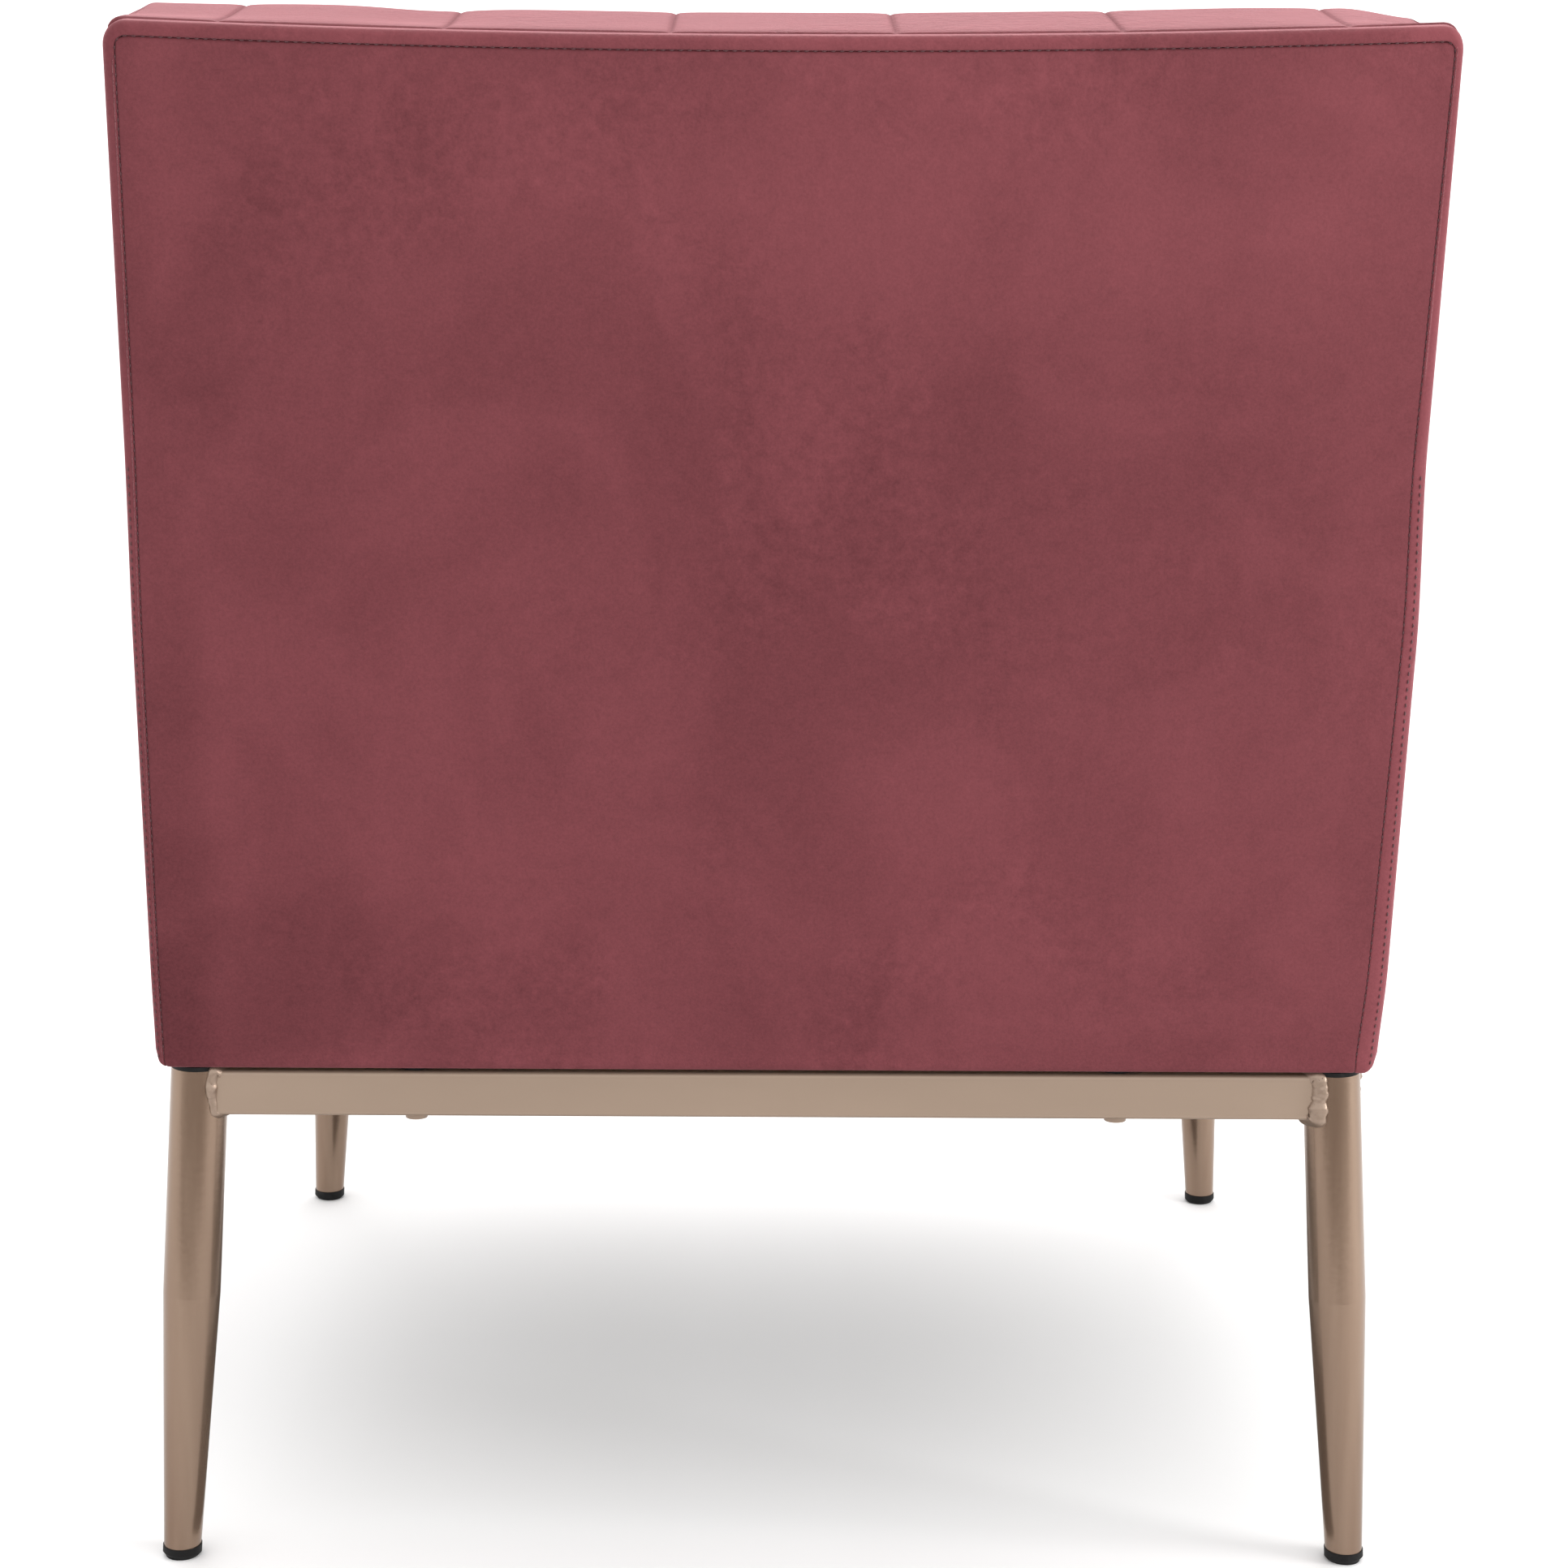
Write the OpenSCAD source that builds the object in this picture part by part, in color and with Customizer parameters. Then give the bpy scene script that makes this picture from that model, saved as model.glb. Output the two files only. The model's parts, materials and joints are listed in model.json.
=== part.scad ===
// Upholstered armchair: a tufted inside back and padded arms on a timber frame,
// bolted to a welded base of tapered tube legs and square rails.
// Millimetres, +Z up, the sitter faces -Y, the floor is Z = 0.
// The origin is on the floor under the middle of the outline.
// "left" is the sitter's left, which is +X.

/* [Base] */
// Distance between the feet across the chair
foot_span_x = 645; // [600:5:660]
// Distance between the front and rear feet
foot_span_y = 600; // [560:5:640]
// How far each leg's top stands in from its foot, in X and in Y
leg_inset = 15.7; // [8:0.1:22]
// Height of the leg tops above the floor
leg_top_z = 278; // [240:1:320]
// Height at which a leg starts to taper
taper_z = 151; // [110:1:190]
// Diameter of a leg above the taper
leg_d = 31; // [29:0.5:34]
// Diameter of a leg at its foot
foot_d = 20.4; // [18:0.1:24]
// Wall of the legs and rails
tube_wall = 1.5; // [1.2:0.1:2]
// Side of the square rails
rail_size = 25; // [22:1:28]
// Visible height of the plastic foot tips
tip_h = 6.5; // [5:0.5:9]
// Thickness of the rubber pads between the rails and the timber frame
pad_h = 3; // [3:0.5:6]

/* [Body] */
// Width over the outside arms
body_w = 655; // [645:5:675]
// Length of the outside back, measured up its slope
back_len = 544; // [480:2:600]
// Lean of the back from upright, in degrees
lean = 8; // [4:1:12]
// Thickness of the whole back, from the outside back to the inside back
back_t = 113; // [105:1:125]
// How far the front of the seat stands ahead of the front feet
front_overhang = 30; // [24:1:40]
// Height of the top of the arms
arm_top_z = 605; // [570:5:630]
// Thickness of an arm
arm_t = 85; // [75:1:95]
// Height of the top of the seat cushion
seat_top_z = 450; // [420:5:470]

/* [Timber frame] */
// Thickness of the frame timber
timber_t = 28; // [24:1:28]
// Height of the seat rails
seat_rail_h = 65; // [55:1:75]
// Depth of the back posts and width of the arm posts
post_t = 45; // [40:1:50]

/* [Padding] */
// Thickness of the outside panels with their wadding
skin_t = 8; // [6:1:10]
// How far the border strip of the back wraps on to its sides and top
border_t = 10; // [9:1:16]
// Padding on top of the arm rails
arm_top_pad = 15; // [12:1:20]
// How many tufts there are across the inside back, which is also the top row's buttons
tuft_count = 6; // [5:1:7]
// How far the crest of the inside back stands above the border
crest = 2; // [1:1:9]
// Depth of the button pockets in the inside back
tuft_depth = 26; // [20:1:32]
// Diameter of the covered buttons
button_d = 22; // [18:1:24]

/* [Hidden] */
$fn = 48;
clear = 0.4;

// Body planes. rear_y is the foot of the outside back, straight above the rear feet.
rear_overhang = back_len * sin(lean);
depth = rear_overhang + foot_span_y + front_overhang;
rear_y = depth / 2 - rear_overhang;
front_y = -depth / 2;
mid_y = rear_y - foot_span_y / 2;
under_z = leg_top_z + pad_h;
frame_z = under_z + 1;
deck_z = frame_z + seat_rail_h;
half_w = body_w / 2;
timber_x = half_w - skin_t;
inner_x = timber_x - timber_t;
arm_x = half_w - arm_t;
timber_front_y = rear_y - foot_span_y + leg_inset - timber_t / 2;

// Cross rails of the back: how deep they lie, and their heights
cross_t = skin_t + 12;
cross_h = 60;
lower_rail_z = 372;

// Suspension
wire_d = 3.6;
loop_r = 12;
loop_straight = 22;
spring_z = deck_z + 0.6 + wire_d / 2;
spring_xs = [-200, -100, 0, 100, 200];
felt_z = spring_z + wire_d / 2 + 0.6;
felt_t = 5;
cushion_z = felt_z + felt_t + clear;

// Tufting: rows of buttons, each [distance below the top, number of buttons].
// Each row has one button less than the row above, so the tufts are diamonds.
tuft_pitch = body_w / tuft_count;
tuft_rows = [[72, tuft_count], [160, tuft_count - 1], [248, tuft_count - 2]];

// Fixings
bolt_d = 6;
bolt_head_d = 12;
bolt_head_h = 4;
bolt_run = 26;
insert_d = 10;
insert_h = 15;
bolt_x = 190;
bolt_y = 150;
bolt_spots = [
    for (sx = [-1, 1], sy = [-1, 1]) [sx * bolt_x, leg_head(sx, sy).y],
    for (sx = [-1, 1], sy = [-1, 1]) [leg_head(sx, sy).x, mid_y + sy * bolt_y]
];

// Colours
rose = [0.50, 0.27, 0.29];
bronze = [0.67, 0.59, 0.52];
black = [0.07, 0.07, 0.08];
pine = [0.78, 0.64, 0.44];
steel = [0.62, 0.63, 0.65];
felt = [0.55, 0.54, 0.52];
strap = [0.24, 0.23, 0.22];

// ---- Places ---------------------------------------------------------------

// Centre of a leg's foot, of its top, and of the leg at height z
function leg_foot(sx, sy) = [sx * foot_span_x / 2, mid_y + sy * foot_span_y / 2, 0];
function leg_head(sx, sy) = leg_foot(sx, sy) + [-sx * leg_inset, -sy * leg_inset, leg_top_z];
function leg_at(sx, sy, z) = leg_foot(sx, sy) + (leg_head(sx, sy) - leg_foot(sx, sy)) * z / leg_top_z;

// A point of the leaning back, as [y, z]: t forward from the outside back, s up its slope
function back_point(t, s) = [
    rear_y + s * sin(lean) - t * cos(lean),
    under_z + s * cos(lean) + t * sin(lean)
];

// The point at depth t in the back that lies at height z
function back_at(t, z) = back_point(t, (z - under_z - t * sin(lean)) / cos(lean));

// ---- Shapes ---------------------------------------------------------------

// A box between two opposite corners
module block(low, high) {
    translate(low) cube(high - low);
}

// A side outline, as a list of [y, z] points, carried across the chair from x1 to x2
module side_slab(points, x1, x2) {
    translate([x1, 0, 0]) rotate([90, 0, 90]) linear_extrude(x2 - x1) polygon(points);
}

// A layer of the leaning back, from depth t1 to t2, from height z1 up to s2 on the slope
module back_layer(t1, t2, z1, s2, x1, x2) {
    side_slab([back_at(t1, z1), back_point(t1, s2), back_point(t2, s2), back_at(t2, z1)], x1, x2);
}

// Places its children with their Z along the slope of the back, at depth t and slope s
module on_back(x, t, s) {
    place = back_point(t, s);
    translate([x, place.x, place.y]) rotate([-lean, 0, 0]) children();
}

// Places its children with their Z along a leg, from the centre of its foot
module along_leg(sx, sy) {
    translate(leg_foot(sx, sy)) rotate(a = atan(leg_inset * sqrt(2) / leg_top_z), v = [sy, -sx, 0])
        children();
}

// Everything between two heights
module between(z1, z2) {
    intersection() {
        children();
        translate([-500, -500, z1]) cube([1000, 1000, z2 - z1]);
    }
}

// The turned shape of a leg, grown by g on its radius
module leg_shape(sx, sy, g) {
    top = leg_top_z + 20;
    along_leg(sx, sy) rotate_extrude() polygon([
        [0, -5], [foot_d / 2 + g, -5], [foot_d / 2 + g, tip_h], [leg_d / 2 + g, taper_z],
        [leg_d / 2 + g, top], [0, top]
    ]);
}

// A square with rounded corners, exact because it is made of squares and circles
module round_square(side, r) {
    square([side - 2 * r, side], center = true);
    square([side, side - 2 * r], center = true);
    for (x = [-1, 1], y = [-1, 1]) translate([x, y] * (side / 2 - r)) circle(r);
}

// The outer shape of a base rail between the centres of two legs, grown by g
module rail_shape(a, b, g) {
    za = leg_top_z - rail_size / 2;
    turn = a.x == b.x ? [-90, 0, 0] : [0, 90, 0];
    len = norm(b - a);
    translate([a.x, a.y, za]) rotate(turn) linear_extrude(len) round_square(rail_size + 2 * g, 2.5 + g);
}

// ---- Base -----------------------------------------------------------------

// Hollow leg, straight and then tapered, cut level at both ends
module leg(sx, sy) {
    color(bronze) between(tip_h, leg_top_z) difference() {
        leg_shape(sx, sy, 0);
        leg_shape(sx, sy, -tube_wall);
    }
}

// Push-in foot tip: a stem in the tube and a flange with a softened lower edge
module foot_tip(sx, sy) {
    r = foot_d / 2;
    color(black) {
        between(0, tip_h) along_leg(sx, sy) rotate_extrude() polygon([
            [0, -2], [r - 1.4, -2], [r - 1.4, 0], [r + 0.5, 2.2], [r + 0.5, 10], [0, 10]
        ]);
        between(tip_h, tip_h + 22) along_leg(sx, sy) cylinder(h = 40, r = r - tube_wall - 0.2);
    }
}

// Plug that closes the top of a leg, with a disc a little over the tube's end
module leg_plug(sx, sy) {
    head = leg_head(sx, sy);
    color(black) {
        translate(head) cylinder(h = pad_h - 0.6, d = leg_d);
        between(leg_top_z - 18, leg_top_z)
            along_leg(sx, sy) cylinder(h = leg_top_z + 20, d = leg_d - 2 * tube_wall - 0.4);
    }
}

// The ends of the four base rails, as pairs of legs
function rail_legs(name) = name == "front" ? [[-1, -1], [1, -1]]
    : name == "rear" ? [[-1, 1], [1, 1]]
    : name == "left" ? [[1, -1], [1, 1]]
    : [[-1, -1], [-1, 1]];
function rail_ends(name) = [
    for (leg = rail_legs(name)) leg_at(leg.x, leg.y, leg_top_z - rail_size / 2)
];

// Bolt holes, straight up through everything
module bolt_holes(d, z1, z2) {
    for (spot = bolt_spots) translate([spot.x, spot.y, z1]) cylinder(h = z2 - z1, d = d);
}

// Square tube between two legs, coped to the round legs at both ends
module base_rail(name) {
    ends = rail_ends(name);
    color(bronze) difference() {
        rail_shape(ends[0], ends[1], 0);
        rail_shape(ends[0], ends[1], -tube_wall);
        for (leg = rail_legs(name)) leg_shape(leg.x, leg.y, 0);
        bolt_holes(bolt_d + 0.6, leg_top_z - rail_size - 1, leg_top_z + 1);
    }
}

// Weld beads: the saddle line where each rail meets a leg, built up by a few millimetres
module weld_beads() {
    bead = 2.4;
    color(bronze) for (name = ["front", "rear", "left", "right"]) {
        ends = rail_ends(name);
        for (leg = rail_legs(name)) difference() {
            intersection() {
                rail_shape(ends[0], ends[1], bead);
                leg_shape(leg.x, leg.y, bead);
            }
            rail_shape(ends[0], ends[1], 0);
            leg_shape(leg.x, leg.y, 0);
        }
    }
}

// Rubber pads that keep the timber frame off the rails at the bolts
module rail_pads() {
    color(black) for (spot = bolt_spots) translate([spot.x, spot.y, leg_top_z]) difference() {
        cylinder(h = pad_h, d = 20);
        translate([0, 0, -1]) cylinder(h = pad_h + 2, d = bolt_d + 0.6);
    }
}

// Bolts up through the rails into the inserts in the frame
module frame_bolts() {
    bottom = leg_top_z - rail_size;
    color(steel) for (spot = bolt_spots) translate([spot.x, spot.y, bottom]) {
        translate([0, 0, -bolt_head_h]) cylinder(h = bolt_head_h, d = bolt_head_d);
        cylinder(h = rail_size + pad_h + bolt_run, d = bolt_d);
    }
}

// Threaded inserts let into the underside of the seat rails
module insert_nuts() {
    color(steel) for (spot = bolt_spots) translate([spot.x, spot.y, frame_z]) difference() {
        cylinder(h = insert_h, d = insert_d);
        translate([0, 0, -1]) cylinder(h = insert_h + 2, d = bolt_d);
    }
}

// ---- Timber frame -----------------------------------------------------------

// Takes the insert and bolt holes out of a seat rail
module with_inserts() {
    difference() {
        children();
        bolt_holes(insert_d, frame_z - 1, frame_z + insert_h);
        bolt_holes(bolt_d + 0.6, frame_z, frame_z + bolt_run + 4);
    }
}

module seat_rail_front() {
    low = [-inner_x, timber_front_y, frame_z];
    color(pine) with_inserts() block(low, [inner_x, timber_front_y + timber_t, deck_z]);
}

module seat_rail_rear() {
    y = rear_y - skin_t - timber_t;
    color(pine) with_inserts() block([-inner_x, y, frame_z], [inner_x, y + timber_t, deck_z]);
}

// Side seat rail, cut at its rear end to the lean of the back post
module seat_rail_side(side) {
    t = skin_t + post_t + clear;
    outline = [
        [timber_front_y, frame_z], [timber_front_y, deck_z], back_at(t, deck_z), back_at(t, frame_z)
    ];
    x = side > 0 ? inner_x : -timber_x;
    color(pine) with_inserts() side_slab(outline, x, x + timber_t);
}

// Glued triangular blocks in the inner corners of the seat frame
module corner_blocks() {
    leg = 55;
    block_h = 38;
    z = deck_z - block_h - 4;
    front = timber_front_y + timber_t;
    rear = rear_y - skin_t - timber_t;
    color(pine) for (sx = [-1, 1], sy = [-1, 1]) {
        y = sy < 0 ? front : rear;
        translate([sx * inner_x, y, z]) linear_extrude(block_h)
            polygon([[0, 0], [-sx * leg, 0], [0, -sy * leg]]);
    }
}

// Back post, leaning with the back from the bottom of the frame to its top
module back_post(side) {
    x = side > 0 ? inner_x : -timber_x;
    color(pine) back_layer(skin_t, skin_t + post_t, frame_z, back_len - skin_t, x, x + timber_t);
}

// Cross rail at the top of the back, square to the slope
module back_rail_top() {
    t = cross_t + timber_t;
    s = back_len - skin_t;
    outline = [
        back_point(cross_t, s - cross_h), back_point(cross_t, s), back_point(t, s),
        back_point(t, s - cross_h)
    ];
    color(pine) side_slab(outline, -inner_x, inner_x);
}

// Cross rail behind the seat cushion, level at its edges
module back_rail_lower() {
    t = cross_t + timber_t;
    z = lower_rail_z + cross_h;
    outline = [back_at(cross_t, lower_rail_z), back_at(cross_t, z), back_at(t, z), back_at(t, lower_rail_z)];
    color(pine) side_slab(outline, -inner_x, inner_x);
}

module arm_post(side) {
    x = side > 0 ? inner_x : -timber_x;
    top = arm_top_z - arm_top_pad - timber_t;
    color(pine) block([x, timber_front_y, deck_z], [x + timber_t, timber_front_y + post_t, top]);
}

// Arm rail, from the arm post's front to the back post
module arm_rail(side) {
    x = side > 0 ? inner_x : -timber_x;
    top = arm_top_z - arm_top_pad;
    t = skin_t + post_t + clear;
    outline = [
        [timber_front_y, top - timber_t], [timber_front_y, top], back_at(t, top),
        back_at(t, top - timber_t)
    ];
    color(pine) side_slab(outline, x, x + timber_t);
}

// ---- Suspension -------------------------------------------------------------

// Where the springs start and end
spring_front = timber_front_y + timber_t - 8;
spring_rear = rear_y - skin_t - timber_t + 8;
loop_n = floor((spring_rear - spring_front) / (2 * loop_r));
loop_start = (spring_front + spring_rear) / 2 - loop_n * loop_r;

// One zigzag spring: straight bars joined by half rings on alternate sides
module zigzag_spring(x) {
    translate([x, loop_start, spring_z]) {
        for (i = [0:loop_n]) translate([-loop_straight / 2, i * 2 * loop_r, 0])
            rotate([0, 90, 0]) cylinder(h = loop_straight, d = wire_d, $fn = 16);
        for (i = [0:loop_n - 1]) {
            side = i % 2 == 0 ? 1 : -1;
            translate([side * loop_straight / 2, (2 * i + 1) * loop_r, 0])
                rotate([0, 0, side > 0 ? -90 : 90])
                rotate_extrude(angle = 180) translate([loop_r, 0]) circle(d = wire_d, $fn = 16);
        }
    }
}

module seat_springs() {
    color(steel) for (x = spring_xs) zigzag_spring(x);
}

// Clips folded over the end bars of the springs
module spring_clips() {
    inner = wire_d / 2 + 0.2;
    outer = inner + 0.4;
    color(steel) for (x = spring_xs, end = [0, 1]) {
        face = end == 0 ? -1 : 1;
        translate([x, loop_start + end * loop_n * 2 * loop_r, spring_z]) difference() {
            block([-8, -outer, -outer], [8, outer, outer]);
            block([-9, face < 0 ? -inner : -outer - 1, -inner], [9, face < 0 ? outer + 1 : inner, inner]);
        }
    }
}

// Felt sheet over the springs
module seat_felt() {
    rear = rear_y - skin_t - timber_t / 2;
    color(felt) block([-arm_x + 2, timber_front_y + 4, felt_z], [arm_x - 2, rear, felt_z + felt_t]);
}

// Elastic straps across the back frame, upright ones and level ones in front of them
module back_webbing() {
    strap_w = 50;
    strap_t = 1.6;
    t1 = cross_t + timber_t + clear;
    t2 = t1 + strap_t + 0.2;
    top = back_len - skin_t - 12;
    color(strap) {
        for (x = spring_xs)
            back_layer(t1, t1 + strap_t, lower_rail_z + 8, top, x - strap_w / 2, x + strap_w / 2);
        for (s = [190, 300, 410]) side_slab([
            back_point(t2, s), back_point(t2, s + strap_w),
            back_point(t2 + strap_t, s + strap_w), back_point(t2 + strap_t, s)
        ], -inner_x + clear, inner_x - clear);
    }
}

// Black lining under the seat frame, with holes at the pads
module dust_cover() {
    color(black) difference() {
        block([-timber_x + 12, timber_front_y + 6, under_z + 0.2],
            [timber_x - 12, rear_y - skin_t - 12, frame_z - 0.1]);
        bolt_holes(20.5, under_z - 1, frame_z + 1);
    }
}

// ---- Upholstery ---------------------------------------------------------------

module outside_back() {
    x = timber_x - clear;
    color(rose) back_layer(0, skin_t - clear, under_z, back_len - skin_t - clear, -x, x);
}

// Border strip that wraps the side edge of the outside back, from the bottom to the top
module back_border_side(side) {
    x = side > 0 ? timber_x : -half_w;
    color(rose) back_layer(0, border_t - clear, under_z, back_len, x, x + skin_t);
}

// The same strip along the top edge
module back_border_top() {
    x = timber_x - clear;
    t = border_t - clear;
    s = back_len - skin_t + clear;
    outline = [back_point(0, s), back_point(0, back_len), back_point(t, back_len), back_point(t, s)];
    color(rose) side_slab(outline, -x, x);
}

// The buttons' places, as [x, slope]
tuft_spots = [
    for (row = tuft_rows, i = [0:row[1] - 1])
        [(i - (row[1] - 1) / 2) * tuft_pitch, back_len - row[0]]
];

// Padded inside back: full width above the arms, between the arms below, with button pockets.
// Its outline is drawn on the slope of the back, as [x, s] points. Above the arms it laps over
// the top and the sides of the timber, back to the border strip.
module inside_back() {
    t1 = skin_t + post_t + clear;
    top = back_len + crest;
    frame_x = timber_x + clear;
    low = (cushion_z - under_z - t1 * sin(lean)) / cos(lean);
    shoulder = (arm_top_z + clear - under_z - t1 * sin(lean)) / cos(lean);
    neck = arm_x - 1;
    outline = [
        [-half_w, shoulder], [-half_w, top], [half_w, top], [half_w, shoulder],
        [neck, shoulder], [neck, low], [-neck, low], [-neck, shoulder]
    ];
    color(rose) difference() {
        on_back(0, border_t, 0) rotate([90, 0, 0]) linear_extrude(back_t - border_t) polygon(outline);
        on_back(-frame_x, t1, 0) translate([0, 0, -1])
            cube([2 * frame_x, 100, back_len - skin_t + clear + 1]);
        for (spot = tuft_spots) on_back(spot.x, back_t + 5, spot.y)
            rotate([-90, 0, 0]) cylinder(h = tuft_depth + 5, d = button_d + 4);
    }
}

// Covered buttons at the bottom of the pockets: a flat back and a domed face
module tuft_buttons() {
    color(rose) for (spot = tuft_spots) on_back(spot.x, back_t - tuft_depth + 0.2, spot.y)
        rotate([90, 0, 0]) {
            cylinder(h = 4, d = button_d);
            translate([0, 0, 4]) intersection() {
                translate([0, 0, -12]) sphere(r = norm([12, button_d / 2]));
                cylinder(h = 6, d = button_d);
            }
        }
}

// Padding over the top and down the inside of the arm frame, behind the arm's front
module arm_pad(side) {
    t = skin_t + post_t + clear;
    y = timber_front_y;
    top = arm_top_z - arm_top_pad + clear;
    body = [[y, cushion_z], [y, arm_top_z], back_at(t, arm_top_z), back_at(t, cushion_z)];
    hollow = [[y - 1, cushion_z - 1], [y - 1, top], back_at(0, top), back_at(0, cushion_z - 1)];
    mirror([side > 0 ? 0 : 1, 0, 0]) color(rose) difference() {
        side_slab(body, arm_x, timber_x - clear);
        side_slab(hollow, inner_x - clear, half_w);
    }
}

// Padded front of the arm, from the underside to the top
module arm_front(side) {
    mirror([side > 0 ? 0 : 1, 0, 0]) color(rose)
        block([arm_x, front_y, under_z], [timber_x - clear, timber_front_y - clear, arm_top_z]);
}

// Outside panel of an arm, from the front to the border strip of the back
module outside_arm(side) {
    x = side > 0 ? timber_x : -half_w;
    t = border_t + clear;
    outline = [
        [front_y, under_z], [front_y, arm_top_z], back_at(t, arm_top_z), back_at(t, under_z)
    ];
    color(rose) side_slab(outline, x, x + skin_t);
}

// Padded front of the seat, below the cushion and between the arms
module front_border() {
    x = arm_x - clear;
    color(rose) block([-x, front_y + 1, under_z], [x, timber_front_y - clear, cushion_z - clear]);
}

// Seat cushion, cut at the rear to the lean of the inside back
module seat_cushion() {
    edge = 16;
    t = back_t + 1;
    z = cushion_z + clear;
    outline = [
        [front_y + 1, z], [front_y + 1, seat_top_z - edge], [front_y + 1 + edge, seat_top_z],
        back_at(t, seat_top_z), back_at(t, z)
    ];
    color(rose) side_slab(outline, -arm_x + 1, arm_x - 1);
}

// ---- Nodes ------------------------------------------------------------------

leg(1, -1);  // leg_front_left
leg(-1, -1);  // leg_front_right
leg(1, 1);  // leg_rear_left
leg(-1, 1);  // leg_rear_right
foot_tip(1, -1);  // foot_tip_front_left
foot_tip(-1, -1);  // foot_tip_front_right
foot_tip(1, 1);  // foot_tip_rear_left
foot_tip(-1, 1);  // foot_tip_rear_right
leg_plug(1, -1);  // leg_plug_front_left
leg_plug(-1, -1);  // leg_plug_front_right
leg_plug(1, 1);  // leg_plug_rear_left
leg_plug(-1, 1);  // leg_plug_rear_right
base_rail("front");  // base_rail_front
base_rail("rear");  // base_rail_rear
base_rail("left");  // base_rail_left
base_rail("right");  // base_rail_right
weld_beads();
rail_pads();
frame_bolts();
insert_nuts();
seat_rail_front();
seat_rail_rear();
seat_rail_side(1);  // seat_rail_left
seat_rail_side(-1);  // seat_rail_right
corner_blocks();
back_post(1);  // back_post_left
back_post(-1);  // back_post_right
back_rail_top();
back_rail_lower();
arm_post(1);  // arm_post_left
arm_post(-1);  // arm_post_right
arm_rail(1);  // arm_rail_left
arm_rail(-1);  // arm_rail_right
seat_springs();
spring_clips();
seat_felt();
back_webbing();
dust_cover();
outside_back();
back_border_side(1);  // back_border_left
back_border_side(-1);  // back_border_right
back_border_top();
inside_back();
tuft_buttons();
arm_pad(1);  // arm_pad_left
arm_pad(-1);  // arm_pad_right
arm_front(1);  // arm_front_left
arm_front(-1);  // arm_front_right
outside_arm(1);  // outside_arm_left
outside_arm(-1);  // outside_arm_right
front_border();
seat_cushion();
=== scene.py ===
import json
import math

import bmesh
import bpy
import numpy as np
from mathutils import Matrix, Vector
from mathutils.bvhtree import BVHTree


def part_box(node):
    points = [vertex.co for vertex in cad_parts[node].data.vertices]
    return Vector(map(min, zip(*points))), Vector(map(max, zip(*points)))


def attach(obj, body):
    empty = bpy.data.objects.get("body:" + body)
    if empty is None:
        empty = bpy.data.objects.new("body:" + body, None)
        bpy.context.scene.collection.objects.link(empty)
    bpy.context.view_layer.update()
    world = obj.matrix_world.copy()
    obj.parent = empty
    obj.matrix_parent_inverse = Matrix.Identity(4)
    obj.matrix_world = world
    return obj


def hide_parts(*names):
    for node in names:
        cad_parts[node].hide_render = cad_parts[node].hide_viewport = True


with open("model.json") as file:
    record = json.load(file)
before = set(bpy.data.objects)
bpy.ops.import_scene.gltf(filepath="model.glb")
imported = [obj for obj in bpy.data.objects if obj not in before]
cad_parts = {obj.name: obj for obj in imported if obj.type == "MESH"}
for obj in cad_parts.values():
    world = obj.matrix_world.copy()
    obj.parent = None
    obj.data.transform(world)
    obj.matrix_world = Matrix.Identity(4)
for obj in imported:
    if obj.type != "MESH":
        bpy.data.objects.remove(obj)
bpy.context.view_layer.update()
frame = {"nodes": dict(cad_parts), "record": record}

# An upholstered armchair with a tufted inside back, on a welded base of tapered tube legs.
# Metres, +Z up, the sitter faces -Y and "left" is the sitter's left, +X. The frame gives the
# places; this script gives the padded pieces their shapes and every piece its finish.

MM = 0.001

# The back leans from upright by LEAN. Its own coordinates are x across, t forward from the
# outside back, and s up the slope from the underside.
LEAN = math.radians(8)
BORDER_T = 9.6 * MM
edge_low, edge_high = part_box("back_border_left")
arm_low, arm_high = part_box("outside_arm_left")
pad_low, pad_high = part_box("arm_pad_left")
HALF_W = edge_high.x
SKIN = edge_high.x - edge_low.x
UNDER = edge_low.z
BACK_LEN = (edge_high.z - UNDER - BORDER_T * math.sin(LEAN)) / math.cos(LEAN)
REAR_Y = edge_high.y - BACK_LEN * math.sin(LEAN)
BACK_T = 113 * MM
FRONT_Y = arm_low.y
ARM_TOP = arm_high.z
ARM_X = pad_low.x
SEAT_LOW, SEAT_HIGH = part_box("seat_cushion")

# Tufting: rows of buttons, each (distance below the top, number of buttons)
TUFTS = 6
PITCH = 2 * HALF_W / TUFTS
TUFT_ROWS = ((72 * MM, TUFTS), (160 * MM, TUFTS - 1), (248 * MM, TUFTS - 2))

rng = np.random.default_rng(7)


# ---- Meshes -----------------------------------------------------------------


def on_back(x, t, s):
    """World points of the leaning back: the foot of its rear face, plus t square to the slope
    and s along it."""
    y = REAR_Y + s * math.sin(LEAN) - t * math.cos(LEAN)
    z = UNDER + s * math.cos(LEAN) + t * math.sin(LEAN)
    return np.stack(np.broadcast_arrays(x, y, z), axis=-1)


def slope_at(t, z):
    """How far up the slope the depth t of the back reaches height z."""
    return (z - UNDER - t * math.sin(LEAN)) / math.cos(LEAN)


def placed(name, data):
    """A new object that shows data, in the scene."""
    thing = bpy.data.objects.new(name, data)
    bpy.context.scene.collection.objects.link(thing)
    return thing


def piece(name, points, faces, material, slot):
    """A mesh object from arrays of points and faces, riding on the chair."""
    mesh = bpy.data.meshes.new(name)
    mesh.from_pydata(np.asarray(points, float).tolist(), [], [list(f) for f in faces])
    mesh.shade_smooth()
    mesh.materials.append(material)
    thing = placed(name, mesh)
    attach(thing, "root")
    return thing


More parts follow.
